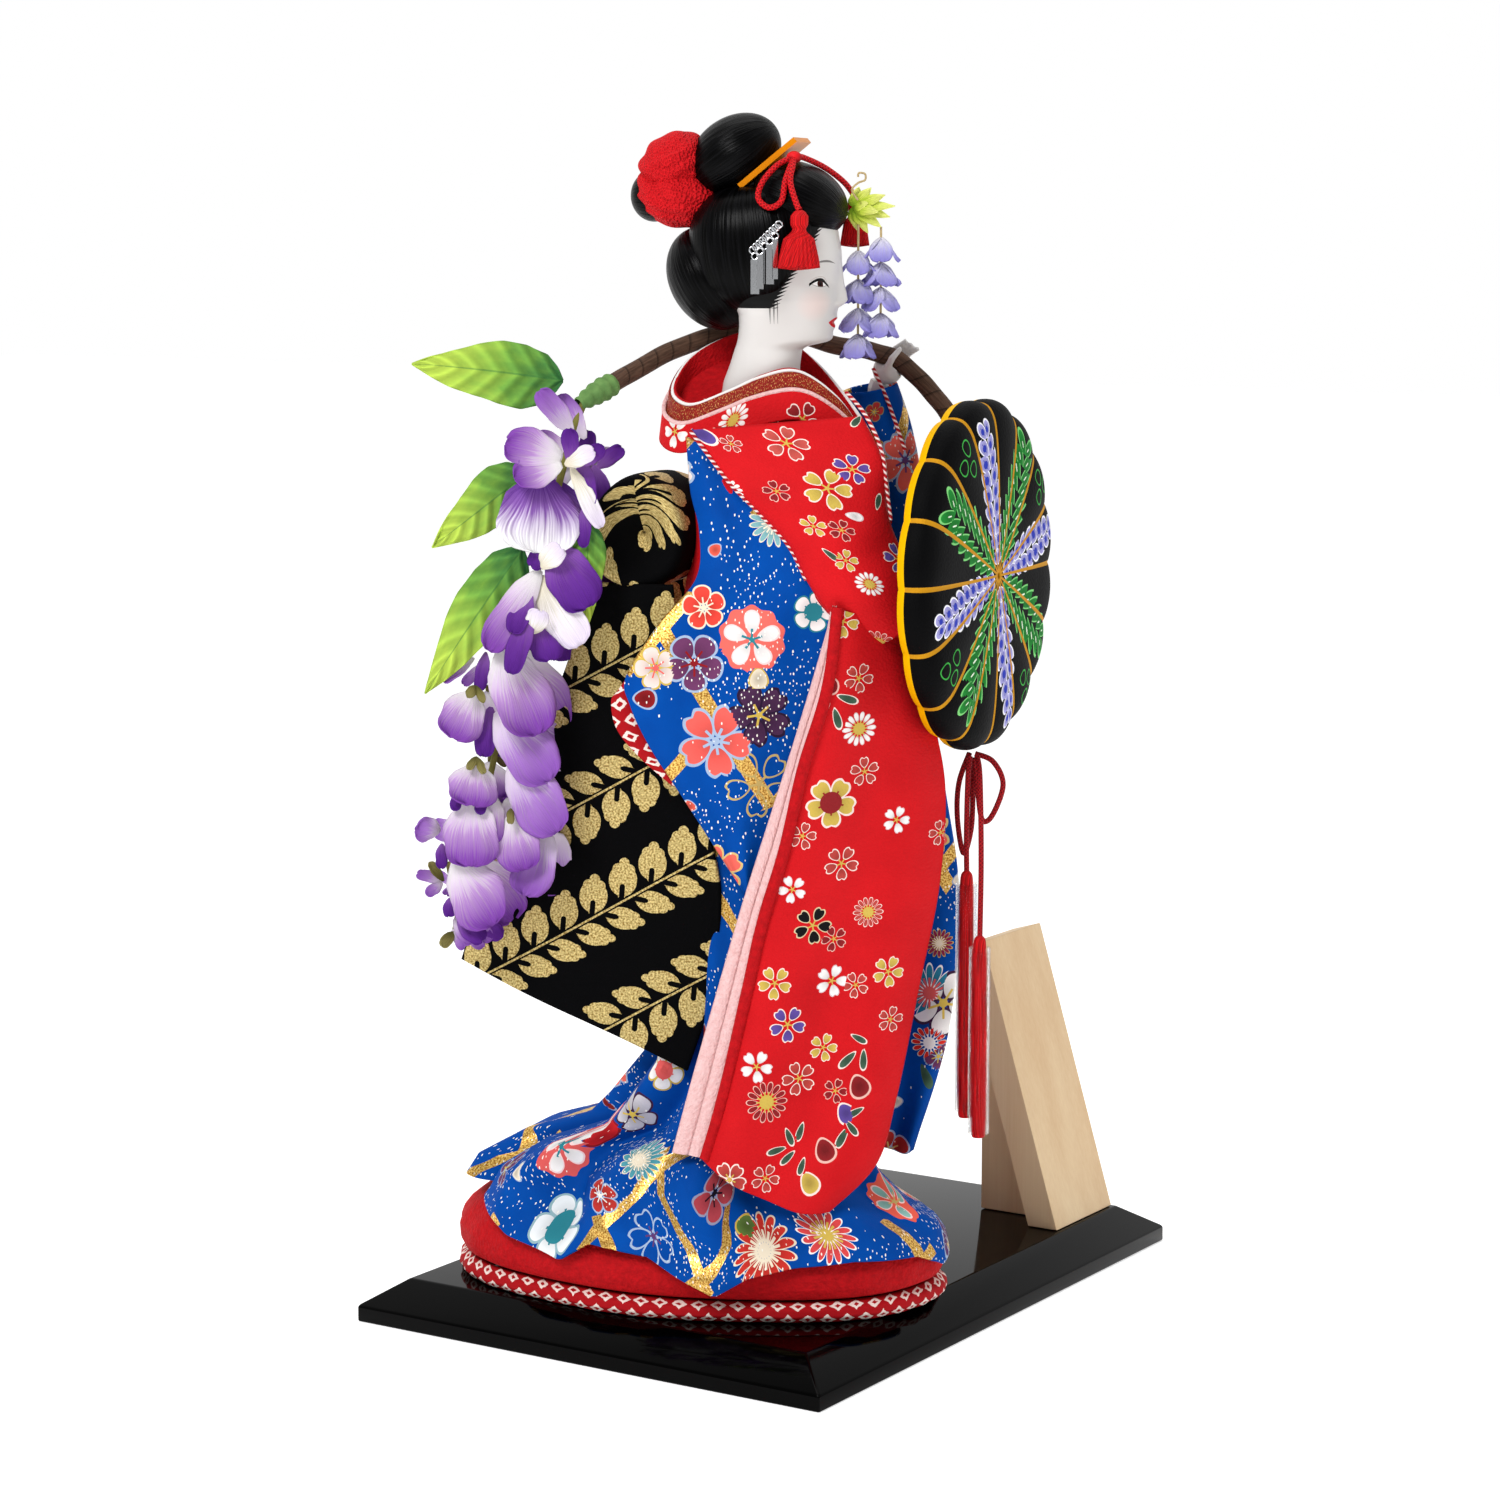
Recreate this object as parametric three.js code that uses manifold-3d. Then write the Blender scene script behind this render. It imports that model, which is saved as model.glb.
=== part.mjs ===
// A dancer doll in layered kimono on a black lacquered board.
// Units are millimetres and +Z is up. The board's underside is centred on the origin
// and its front runs along -Y.
import * as THREE from "three";
import Module from "manifold-3d";

const wasm = await Module();
wasm.setup();

// Driving sizes
const CLEARANCE = 0.3;
const BASE = { width: 280, depth: 215, edge: 6.5, bevelRise: 10, bevelInset: 15 };
const FOOT = { x: -48.7, y: -7.5 };
const SIDE_TURN = -57.3;
const FACING = -20;
const ROD = { radius: 3, height: 225 };
const NUT = { radius: 7, height: 4, recess: 8.5 };
const CORE = { waist: 190, top: 336 };
const HEM = { x: -11, y: -8, length: 100, width: 62, under: 8, padded: 34 };
const CLOTH = 2.2;
const OBI = { bottom: 195.5, top: 262, thick: 4.5, tail: 3 };
const NECK = { x: 16.5, y: 0, radius: 11.6, pegRadius: 3.5, pegDepth: 34 };
const HEAD_TURN = -13;
const HEAD = { chin: 367, crown: 434, halfLength: 23.5, halfWidth: 21 };
const SIDE_HAIR = { x: -4, z: 406, length: 29.5, width: 28, height: 28 };
const ARM = { wire: 4, left: 4 };
const COLLAR = { step: 1.7, thick: 1, flare: 0.12 };
const BRANCH = { radius: 3.6 };
const HAT = { x: 92.5, y: 0, z: 279.3, turn: -22, radius: 67.5, depth: 14, wall: 1.6, lobes: 16, lobe: 1.6 };
const PAD = { radius: 15, height: 6 };
const CORD = { radius: 1.1 };
const TASSEL = { radius: 3.1, sleeve: 4.2, sleeveWall: 0.5 };
const PLAQUE = { width: 49, length: 123.7, thick: 12.9, lean: 16.8, fromEdge: 1.6, stay: 12 };

const BASE_TOP = BASE.edge + BASE.bevelRise;
const rad = THREE.MathUtils.degToRad;

// Working tools

// A point from its three coordinates.
const at = (x, y, z) => new THREE.Vector3(x, y, z);

// The rows of a short table with smooth steps between them.
function between(rows, steps) {
  const out = [];
  for (let i = 0; i + 1 < rows.length; i++) {
    const before = rows[Math.max(i - 1, 0)];
    const after = rows[Math.min(i + 2, rows.length - 1)];
    for (let k = 0; k < steps; k++) {
      const t = k / steps;
      out.push(rows[i].map((b, n) => {
        const a = before[n];
        const c = rows[i + 1][n];
        const d = after[n];
        const even = 2 * b + (c - a) * t;
        return 0.5 * (even + (2 * a - 5 * b + 4 * c - d) * t * t + (3 * b - a - 3 * c + d) * t * t * t);
      }));
    }
  }
  out.push([...rows[rows.length - 1]]);
  return out;
}

// A closed body through rings of points, with a fan over each end.
function skin(rings) {
  const count = rings[0].length;
  const points = rings.flat();
  const faces = [];
  for (let r = 0; r + 1 < rings.length; r++) {
    for (let i = 0; i < count; i++) {
      const a = r * count + i;
      const b = r * count + (i + 1) % count;
      faces.push(a, b, b + count, a, b + count, a + count);
    }
  }
  const last = (rings.length - 1) * count;
  const foot = points.length;
  points.push(middle(rings[0]), middle(rings[rings.length - 1]));
  for (let i = 0; i < count; i++) {
    faces.push(foot, (i + 1) % count, i);
    faces.push(foot + 1, last + i, last + (i + 1) % count);
  }
  return surface(points, faces);
}

// The mean of a ring of points.
function middle(ring) {
  const sum = at(0, 0, 0);
  ring.forEach((p) => sum.add(p));
  return sum.divideScalar(ring.length);
}

// A geometry from points and faces, turned so that its faces look out.
function surface(points, faces) {
  let volume = 0;
  for (let i = 0; i < faces.length; i += 3) {
    const [a, b, c] = [points[faces[i]], points[faces[i + 1]], points[faces[i + 2]]];
    volume += a.dot(at(0, 0, 0).crossVectors(b, c));
  }
  const geometry = new THREE.BufferGeometry();
  geometry.setFromPoints(points);
  geometry.setIndex(volume < 0 ? [...faces].reverse() : faces);
  return geometry;
}

// An upright body through level ovals. A row is height, centre x and y, half length,
// half width and turn. The fold function adds to a ring's size at an angle and height.
function upright(rows, { sides = 20, steps = 2, grow = 0, reach = grow, fold = null, dip = null } = {}) {
  const levels = between(rows, steps);
  levels[0][0] -= reach;
  levels[levels.length - 1][0] += reach;
  return skin(levels.map(([z, x, y, length, width, turn = 0]) => {
    const ring = [];
    for (let i = 0; i < sides; i++) {
      const angle = (i / sides) * 2 * Math.PI;
      const swell = fold ? fold(angle, z) : 0;
      const drop = dip ? dip(angle, z) : 0;
      const p = at((length + grow + swell) * Math.cos(angle), (width + grow + swell) * Math.sin(angle), z + drop);
      ring.push(p.applyAxisAngle(at(0, 0, 1), rad(turn)).add(at(x, y, 0)));
    }
    return ring;
  }));
}

// A bar along a path. A row is x, y, z, half width and half thickness; the width lies
// along the given direction as far as the path allows.
function bar(rows, { sides = 10, steps = 3, grow = 0, across = at(0, 1, 0) } = {}) {
  const line = between(rows, steps);
  const points = line.map(([x, y, z]) => at(x, y, z));
  const rings = line.map((row, k) => {
    const ahead = points[Math.min(k + 1, points.length - 1)];
    const along = ahead.clone().sub(points[Math.max(k - 1, 0)]).normalize();
    const side = across.clone().addScaledVector(along, -across.dot(along)).normalize();
    const up = at(0, 0, 0).crossVectors(along, side);
    const reach = k === 0 ? -grow : k === points.length - 1 ? grow : 0;
    const centre = points[k].clone().addScaledVector(along, reach);
    const ring = [];
    for (let i = 0; i < sides; i++) {
      const angle = (i / sides) * 2 * Math.PI;
      const p = centre.clone().addScaledVector(side, (row[3] + grow) * Math.cos(angle));
      ring.push(p.addScaledVector(up, ((row[4] ?? row[3]) + grow) * Math.sin(angle)));
    }
    return ring;
  });
  return skin(rings);
}

// A sheet with a thickness, from a function of two numbers that run from 0 to 1.
function sheet(place, across, down, thick, grow = 0) {
  const points = [[], []];
  const step = 0.01;
  for (let j = 0; j <= down; j++) {
    for (let i = 0; i <= across; i++) {
      const s = i / across;
      const t = j / down;
      const p = place(s, t);
      const ds = place(Math.min(s + step, 1), t).sub(place(Math.max(s - step, 0), t)).normalize();
      const dt = place(s, Math.min(t + step, 1)).sub(place(s, Math.max(t - step, 0))).normalize();
      const out = at(0, 0, 0).crossVectors(ds, dt).normalize();
      if (i === 0 || i === across) p.addScaledVector(ds, i === 0 ? -grow : grow);
      if (j === 0 || j === down) p.addScaledVector(dt, j === 0 ? -grow : grow);
      points[0].push(p.clone().addScaledVector(out, thick / 2 + grow));
      points[1].push(p.clone().addScaledVector(out, -thick / 2 - grow));
    }
  }
  const wide = across + 1;
  const back = points[0].length;
  const faces = [];
  for (let j = 0; j < down; j++) {
    for (let i = 0; i < across; i++) {
      const a = j * wide + i;
      faces.push(a, a + 1, a + wide + 1, a, a + wide + 1, a + wide);
      faces.push(back + a, back + a + wide + 1, back + a + 1, back + a, back + a + wide, back + a + wide + 1);
    }
  }
  const edge = [];
  for (let i = 0; i < across; i++) edge.push(i);
  for (let j = 0; j < down; j++) edge.push(j * wide + across);
  for (let i = across; i > 0; i--) edge.push(down * wide + i);
  for (let j = down; j > 0; j--) edge.push(j * wide);
  edge.forEach((a, k) => {
    const b = edge[(k + 1) % edge.length];
    faces.push(a, back + a, back + b, a, back + b, b);
  });
  return surface([...points[0], ...points[1]], faces);
}

// A curve through listed points.
const curve = (points) => new THREE.CatmullRomCurve3(points.map((p) => at(...p)));

// A hanging panel between a left edge and a right edge, with folds that stand out of it.
function panel(left, right, { across = 8, down = 10, thick = CLOTH, grow = 0, fold = () => 0 } = {}) {
  const a = curve(left);
  const b = curve(right);
  const place = (s, t) => {
    const p = a.getPoint(t).lerp(b.getPoint(t), s);
    p.y -= fold(s, t);
    return p;
  };
  return sheet(place, across, down, thick, grow);
}

// An egg of three half sizes.
function egg(x, y, z, length, width, height, { tilt = 0, grow = 0, around = 14, up = 9 } = {}) {
  const geometry = new THREE.SphereGeometry(1, around, up).rotateX(Math.PI / 2);
  geometry.scale(length + grow, width + grow, height + grow);
  return geometry.rotateY(rad(tilt)).translate(x, y, z);
}

// A block between two corners.
function block(x0, y0, z0, x1, y1, z1) {
  const geometry = new THREE.BoxGeometry(x1 - x0, y1 - y0, z1 - z0);
  return geometry.translate((x0 + x1) / 2, (y0 + y1) / 2, (z0 + z1) / 2);
}

// An upright cylinder between two heights.
function post(x, y, z0, z1, radius, sides = 24) {
  const geometry = new THREE.CylinderGeometry(radius, radius, z1 - z0, sides);
  return geometry.rotateX(Math.PI / 2).translate(x, y, (z0 + z1) / 2);
}

// A solid from a geometry.
function solid(geometry) {
  const position = geometry.attributes.position;
  const index = geometry.index ? [...geometry.index.array] : [...Array(position.count).keys()];
  const mesh = new wasm.Mesh({
    numProp: 3,
    vertProperties: new Float32Array(position.array),
    triVerts: new Uint32Array(index),
  });
  mesh.merge();
  return new wasm.Manifold(mesh);
}

// A geometry from a solid, the largest body of it where a cut left scraps.
function shape(body) {
  const parts = body.decompose();
  const whole = parts.reduce((a, b) => (b.volume() > a.volume() ? b : a)).simplify(0.04);
  const mesh = whole.getMesh();
  const geometry = new THREE.BufferGeometry();
  geometry.setAttribute("position", new THREE.BufferAttribute(new Float32Array(mesh.vertProperties), 3));
  geometry.setIndex(new THREE.BufferAttribute(new Uint32Array(mesh.triVerts), 1));
  return geometry;
}

// A geometry with others cut out of it.
const less = (geometry, ...cuts) => shape(cuts.reduce((body, cut) => body.subtract(solid(cut)), solid(geometry)));

// Several geometries as one.
const join = (first, ...more) => shape(more.reduce((body, add) => body.add(solid(add)), solid(first)));

const whole = new THREE.Group();
const figure = new THREE.Group();
figure.rotation.z = rad(SIDE_TURN);
figure.position.set(FOOT.x, FOOT.y, BASE_TOP);
whole.add(figure);

const PAINT = {
  lacquer: [0x060607, 0.08], steel: [0x8f9398, 0.4], straw: [0xb59b62, 0.9], skin: [0xf3eee8, 0.35],
  hair: [0x0b0a0b, 0.35], red: [0xb3161c, 0.8], blue: [0x1b4fae, 0.8], pink: [0xe7c4b8, 0.8],
  gold: [0xc99a3a, 0.5], black: [0x141414, 0.6], brocade: [0xc0392b, 0.7], white: [0xf0ece6, 0.8],
  amber: [0xd9821f, 0.3], silver: [0xc9ccd0, 0.25], leaf: [0x3f8a2f, 0.7], bark: [0x7a5a3c, 0.9],
  petal: [0xc9a6dd, 0.8], clear: [0xe6e6e6, 0.2], wood: [0xe2bd86, 0.5],
};

// A named piece in its place.
function piece(name, geometry, paint, group = figure) {
  const [color, roughness] = PAINT[paint];
  const mesh = new THREE.Mesh(geometry, new THREE.MeshStandardMaterial({ color, roughness }));
  mesh.name = name;
  group.add(mesh);
  return geometry;
}

// Board, stand rod and nut
const corners = (inset, z) => [[-1, -1], [1, -1], [1, 1], [-1, 1]].map(
  ([x, y]) => at(x * (BASE.width / 2 - inset), y * (BASE.depth / 2 - inset), z));
const board = skin([corners(0, 0), corners(0, BASE.edge), corners(BASE.bevelInset, BASE_TOP)]);
piece("base_board", less(board,
  post(FOOT.x, FOOT.y, -1, BASE_TOP + 1, ROD.radius + CLEARANCE),
  post(FOOT.x, FOOT.y, -1, NUT.recess, NUT.radius + 2)), "lacquer", whole);
const rodGrown = post(0, 0, -BASE_TOP, ROD.height + CLEARANCE, ROD.radius + CLEARANCE);
piece("stand_rod", post(0, 0, 2 - BASE_TOP, ROD.height, ROD.radius), "steel");
const nutTop = NUT.recess - BASE_TOP - CLEARANCE;
piece("rod_nut", less(post(0, 0, nutTop - NUT.height, nutTop, NUT.radius, 6), rodGrown), "steel");

// Straw cores of the legs and the trunk
const legRows = [[CLEARANCE, 4, -2, 33, 29, FACING], [60, 7, -1, 31, 27, FACING],
  [120, 9, 0, 28, 24, FACING], [CORE.waist, 8, 0, 24, 21, FACING]];
const trunkRows = [[CORE.waist + CLEARANCE, 8, 0, 24, 21, FACING], [235, 10, 0, 23, 24, FACING],
  [290, 12, 0, 22, 30, FACING], [318, 13, 0, 18, 31, FACING], [CORE.top, 15, 0, 12, 16, FACING]];
const leg = (grow) => upright(legRows, { sides: 14, steps: 1, grow, reach: 2 * grow });
const trunk = (grow) => upright(trunkRows, { sides: 14, steps: 1, grow, reach: 0 });
const pegGrown = post(NECK.x, NECK.y, CORE.top - NECK.pegDepth - 1, CORE.top + 60, NECK.pegRadius + CLEARANCE, 16);
piece("skirt_core", less(leg(0), rodGrown), "straw");
piece("torso_core", less(trunk(0), rodGrown, pegGrown), "straw");

// Hem layers on the board and the skirt over them
const hemRow = (z, grow) => [z, HEM.x, HEM.y, HEM.length + grow, HEM.width + grow, FACING];
const ripple = (count, size, shift = 0) => (angle) => size * Math.sin(count * angle + shift);
const underRows = [hemRow(CLEARANCE, -2), hemRow(3, 0.5), hemRow(6, 0), hemRow(HEM.under, -5)];
piece("under_hem", less(upright(underRows, { sides: 28, steps: 1, fold: ripple(7, 0.8) }), leg(CLEARANCE)), "red");
const paddedRows = [hemRow(HEM.under + CLEARANCE, -5), hemRow(12, -1), hemRow(19, 0), hemRow(26, -4), hemRow(31, -10),
  hemRow(HEM.padded, -22)];
const padded = (grow) => upright(paddedRows, { sides: 28, steps: 1, grow, fold: ripple(7, 0.8) });
piece("padded_hem", less(padded(0), leg(CLEARANCE)), "red");
// The skirt's edge lies on the padded hem behind and hangs over it at the near side.
const near = (angle) => Math.max(0, Math.cos(angle + rad(70)));
const SKIRT_EDGE = 31;
const skirtRows = [hemRow(SKIRT_EDGE, -3), [38, -16, -8, 88, 54, FACING], [47, -14, -7, 78, 49, FACING],
  [58, -8, -5, 64, 44, FACING], [72, 3, -3, 50, 40, FACING], [90, 13, -2, 41, 36, FACING],
  [120, 13, -1, 38, 34, FACING], [160, 10, 0, 33, 31, FACING], [OBI.bottom - CLEARANCE, 8, 0, 28, 27, FACING]];
const pleat = (angle, z) => 2.6 * Math.sin(6 * angle + 0.4) * THREE.MathUtils.smoothstep(120 - z, 0, 60)
  * THREE.MathUtils.smoothstep(z, SKIRT_EDGE, SKIRT_EDGE + 10)
  + 8.6 * near(angle) * (1 - THREE.MathUtils.smoothstep(z, SKIRT_EDGE, 60));
const scallop = (angle, z) => (z <= SKIRT_EDGE ? 1 : 1 - THREE.MathUtils.smoothstep(z, SKIRT_EDGE, 60))
  * (-9 * near(angle) + (z <= SKIRT_EDGE ? 2.4 * Math.sin(5 * angle + 1) : 0));
const skirtForm = { sides: 30, steps: 1, fold: pleat, dip: scallop };
const skirt = (grow, reach) => upright(skirtRows, { ...skirtForm, grow, reach });
piece("kimono_skirt", less(skirt(0, 0), skirt(-CLOTH, 6), padded(CLEARANCE)), "blue");

// Obi band round the waist
const obiRow = (z, x, length, width) => [z, x, 0, length + OBI.thick, width + OBI.thick, FACING];
const obiRows = [obiRow(OBI.bottom, 8, 25, 23), obiRow(229, 10, 26, 25), obiRow(OBI.top, 11, 26, 28)];
const obi = (grow) => upright(obiRows, { sides: 20, grow });
const obiBand = less(obi(0), trunk(CLEARANCE));
piece("obi_band", obiBand, "black");

// Head and neck, built round their own turning axis and then turned into place
const headPlace = new THREE.Matrix4().makeRotationZ(rad(HEAD_TURN)).setPosition(NECK.x, NECK.y, 0);
const onHead = (geometry) => geometry.clone().applyMatrix4(headPlace);
const faceRows = [[CORE.top + CLEARANCE, 0, 0, 13, 13], [345, 0, 0, NECK.radius + 0.8, NECK.radius + 0.8],
  [356, 0, 0, NECK.radius, NECK.radius], [364, 1, 0, 13, NECK.radius], [HEAD.chin + 1, 6.5, 0, 18, 12.5],
  [374, 6.5, 0, 20.5, 16.5], [384, 6, 0, 22.5, 19.5], [395, 5.5, 0, HEAD.halfLength, HEAD.halfWidth],
  [408, 5, 0, HEAD.halfLength, HEAD.halfWidth], [420, 3, 0, 21, 19], [430, 1, 0, 13, 12], [HEAD.crown, 0, 0, 4, 4]];
const face = (grow) => upright(faceRows, { sides: 20, steps: 1, grow });

// Red bodice over the chest and shoulders
const bodiceRows = [[OBI.top + CLEARANCE, 11, 0, 28, 31, FACING], [292, 14, 0, 30, 35, FACING],
  [318, 17, 0, 37, 37, FACING], [334, 14, 0, 33, 29, FACING], [347, 11, 0, 23, 23, FACING]];
const bodice = (grow) => upright(bodiceRows, { sides: 16, grow });

// Collars: strips that stand round the neck and cross at the chest
const collarEdge = [[59, -6, 320], [51, -11, 336], [42, -15, 348], [28, -17, 357], [14, -17, 355], [0, -16, 349],
  [-14, -11, 343], [-21, 0, 345], [-14, 12, 356], [2, 17, 364], [18, 18, 365], [32, 15, 359], [45, 9, 349],
  [57, 2, 331], [60, -1, 316]];
function collar(space, from, to, thick, grow = 0) {
  const line = curve(collarEdge);
  const place = (s, t) => {
    const p = line.getPoint(s);
    const out = at(p.x - NECK.x - 4, p.y, 0).normalize();
    const below = from + (to - from) * t;
    return p.addScaledVector(out, space + COLLAR.flare * below).add(at(0, 0, -below));
  };
  return sheet(place, 26, 2, thick, grow);
}
const collars = collar(0, -3, 16, 2 * COLLAR.step + COLLAR.thick, CLEARANCE);

// The hat's place, with +X along its axis, and the room it takes up
const hatPlace = new THREE.Matrix4().makeRotationZ(rad(HAT.turn)).setPosition(HAT.x, HAT.y, HAT.z);
const onHat = (geometry) => geometry.clone().applyMatrix4(hatPlace);
const hatRoom = onHat(new THREE.CylinderGeometry(HAT.radius + 2, HAT.radius + 2, HAT.depth * 1.5, 32)
  .rotateZ(Math.PI / 2).translate(HAT.depth * 0.75 - CLEARANCE, 0, 0));

// Arms: wrapped wire, and the sleeves round them
const rightRows = [[4, -24, 314, ARM.wire], [22, -40, 296, ARM.wire], [46, -44, 266, ARM.wire],
  [64, -36, 262, ARM.wire], [80, -16, 268, ARM.wire]];
const leftRows = [[24, 27, 314, ARM.left], [44, 38, 300, ARM.left], [62, 41, 298, ARM.left],
  [62, 39, 322, ARM.left], [60, 36, 346, ARM.left], [61, 35, 352, ARM.left]];
const rightArm = (grow) => bar(rightRows, { sides: 8, grow, across: at(0, 0, 1) });
const leftArm = (grow) => bar(leftRows, { sides: 8, grow, across: at(0, 1, 0.2) });
piece("right_arm", less(rightArm(0), trunk(CLEARANCE)), "white");
piece("left_arm", less(leftArm(0), trunk(CLEARANCE)), "white");
piece("red_bodice", less(bodice(0), trunk(CLEARANCE), rightArm(CLEARANCE), leftArm(CLEARANCE), pegGrown,
  onHead(face(CLEARANCE)), collars), "red");

// Red right sleeve: the shoulder and arm, and the long bag that hangs from the forearm
const upperRows = [[12, -34, 327, 22, 8], [20, -42, 308, 25, 12], [38, -47, 284, 20, 12],
  [52, -46, 266, 15, 12], [66, -36, 262, 11, 11], [74, -26, 265, 9, 10]];
const upper = (grow) => bar(upperRows, { sides: 12, steps: 2, grow, across: at(0.8, 0, 0.6) });
const bagLeft = [[41, -54, 270], [37, -56, 241], [28, -57, 211], [21, -57, 180], [13, -57, 153], [7, -58, 126],
  [1, -59, 99], [-4, -61, 79], [-9, -63, 62]];
const bagRight = [[72, -22, 256], [78, -20, 234], [85, -21, 200], [83, -26, 162], [75, -32, 122], [66, -46, 82],
  [58, -56, 58], [40, -66, 42]];
const bagFold = (s, t) => 3.5 * Math.sin(3 * Math.PI * s) * (0.35 + 0.65 * t) + 4 * Math.sin(Math.PI * s);
const bag = (grow) => panel(bagLeft, bagRight, { across: 9, down: 10, thick: 7, grow, fold: bagFold });
piece("right_sleeve", less(join(upper(0), bag(0)), bodice(CLEARANCE), trunk(CLEARANCE), rightArm(CLEARANCE),
  obi(CLEARANCE), skirt(CLEARANCE, 0), hatRoom), "red");
const liningLeft = [[33, -49, 268], [28, -50, 245], [20, -50, 222], [11, -50, 191], [3, -51, 161], [-4, -52, 130],
  [-10, -54, 103], [-15, -56, 80], [-18, -58, 68]];
const liningRight = bagLeft.map(([x, y, z]) => [x - 1, y + 2, z]);
const lining = panel(liningLeft, liningRight, { across: 3, down: 12, thick: 4 });
piece("right_sleeve_lining", less(lining, bag(CLEARANCE), upper(CLEARANCE), skirt(CLEARANCE, 0)), "pink");

// Blue sleeve slipped off the right shoulder, hanging over the obi
const slipLeft = [[-11, -34, 312], [-20, -36, 282], [-34, -38, 258], [-42, -38, 240], [-36, -39, 222],
  [-18, -40, 204], [-1, -40, 180]];
const slipRight = [[10, -40, 311], [26, -42, 286], [30, -42, 268], [24, -43, 240], [16, -43, 215],
  [11, -43, 195], [5, -42, 170]];
const slipFold = (s, t) => 2.5 * Math.sin(Math.PI * s) + 2 * Math.sin(4 * Math.PI * s) * (1 - 0.6 * t);
const slipCuts = [bag(CLEARANCE), upper(CLEARANCE), obi(CLEARANCE), bodice(CLEARANCE), rightArm(CLEARANCE),
  panel(liningLeft, liningRight, { across: 3, down: 12, thick: 4, grow: CLEARANCE })];
const slip = (grow) => panel(slipLeft, slipRight, { across: 8, down: 10, thick: 5, grow, fold: slipFold });
piece("slipped_sleeve", less(slip(0), ...slipCuts), "blue");
const trimLeft = slipLeft.slice(2).map(([x, y, z]) => [x - 3, y + 6, z - 1]);
const trimRight = slipLeft.slice(2).map(([x, y, z]) => [x + 8, y + 5, z + 1]);
const trim = (grow) => panel(trimLeft, trimRight, { across: 3, down: 8, thick: 1.6, grow });
piece("slipped_sleeve_lining", less(trim(0), slip(CLEARANCE), obi(CLEARANCE), ...slipCuts), "red");

// Blue left sleeve: the raised arm, and its hanging bag
const lowerRows = [[20, 34, 326, 12, 9], [38, 42, 311, 16, 12], [60, 43, 301, 15, 12]];
const raisedRows = [[64, 43, 288, 13, 10], [63, 41, 310, 15, 11], [60, 38, 332, 14, 11], [57, 36, 350, 11, 10]];
const raised = (grow) => join(bar(lowerRows, { sides: 12, steps: 2, grow, across: at(0.4, 0, 0.9) }),
  bar(raisedRows, { sides: 12, steps: 2, grow, across: at(1, 0, 0) }));
piece("left_sleeve", less(raised(0), bodice(CLEARANCE), trunk(CLEARANCE), leftArm(CLEARANCE)), "blue");
const hangLeft = [[46, 44, 292], [44, 42, 240], [42, 40, 180], [44, 38, 120], [52, 36, 70], [60, 34, 48]];
const hangRight = [[70, 42, 292], [80, 40, 240], [88, 38, 190], [94, 36, 145], [90, 34, 90], [76, 32, 42]];
const hangFold = (s, t) => 3 * Math.sin(3 * Math.PI * s) * (0.3 + 0.7 * t);
const hang = (grow) => panel(hangLeft, hangRight, { across: 8, down: 10, thick: 6, grow, fold: hangFold });
piece("left_sleeve_bag", less(hang(0), raised(2 * CLEARANCE), leftArm(CLEARANCE), bodice(CLEARANCE),
  skirt(CLEARANCE, 0)), "blue");

// Obi loop and tails at the back
const loopEnd = (away, half, high) => [-25 - 0.34 * away, -0.94 * away, 297, half, high];
const loopRows = [loopEnd(-26, 15, 17), loopEnd(-20, 19, 21), loopEnd(0, 19.5, 22), loopEnd(22, 19.5, 22),
  loopEnd(27, 18, 20)];
const loop = (grow) => bar(loopRows, { sides: 16, steps: 1, grow, across: at(1, 0, 0) });
const pocketRows = [loopEnd(-6, 9, 11), loopEnd(0, 13, 15), loopEnd(30, 15, 17)];
const pocket = bar(pocketRows, { sides: 12, steps: 1, across: at(1, 0, 0) });
piece("obi_loop", less(loop(0), pocket, obi(CLEARANCE), slip(CLEARANCE), bodice(CLEARANCE)), "black");
const nearLeft = [[-50, -16, 278], [-62, -14, 244], [-70, -13, 223], [-76, -12, 205], [-88, -10, 176],
  [-97, -8, 150], [-104, -6, 128]];
const nearRight = [[-20, -30, 278], [-16, -31, 236], [-13, -31, 212], [-9, -31, 190], [-2, -31, 160],
  [-5, -30, 122], [-15, -28, 88]];
const tailFold = (s, t) => 2.5 * Math.sin(2 * Math.PI * s) * t;
const nearTail = (grow) => panel(nearLeft, nearRight, { across: 6, down: 8, thick: OBI.tail, grow, fold: tailFold });
const farLeft = nearLeft.map(([x, y, z]) => [x + 6, -y + 2, z + 6]);
const farRight = nearRight.map(([x, y, z]) => [x + 6, -y + 3, z + 8]);
const farTail = panel(farLeft, farRight, { across: 6, down: 8, thick: OBI.tail, fold: (s, t) => -tailFold(s, t) });
const tailCuts = [obi(CLEARANCE), loop(CLEARANCE), slip(CLEARANCE), trim(CLEARANCE), skirt(CLEARANCE, 0)];
piece("obi_tail_near", less(nearTail(0), ...tailCuts), "black");
piece("obi_tail_far", less(farTail, ...tailCuts, nearTail(CLEARANCE)), "black");

// Collars in place
piece("collar_red", less(collar(-COLLAR.step, -3, 8, COLLAR.thick), onHead(face(2 * CLEARANCE))), "red");
piece("collar_brocade", collar(0, -1, 9, COLLAR.thick), "brocade");
piece("collar_outer", less(collar(COLLAR.step, 6, 16, COLLAR.thick), upper(CLEARANCE), raised(CLEARANCE)), "red");

// Head and its peg
const nose = egg(28.6, 0, 388, 3, 2.6, 5, { around: 10, up: 8 });
const pegTop = CORE.top + 22;
const peg = (grow) => post(0, 0, CORE.top - NECK.pegDepth, pegTop + grow, NECK.pegRadius + grow, 16);
piece("head", onHead(less(join(face(0), nose), peg(CLEARANCE))), "skin");
piece("head_peg", onHead(peg(0)), "wood");

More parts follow.
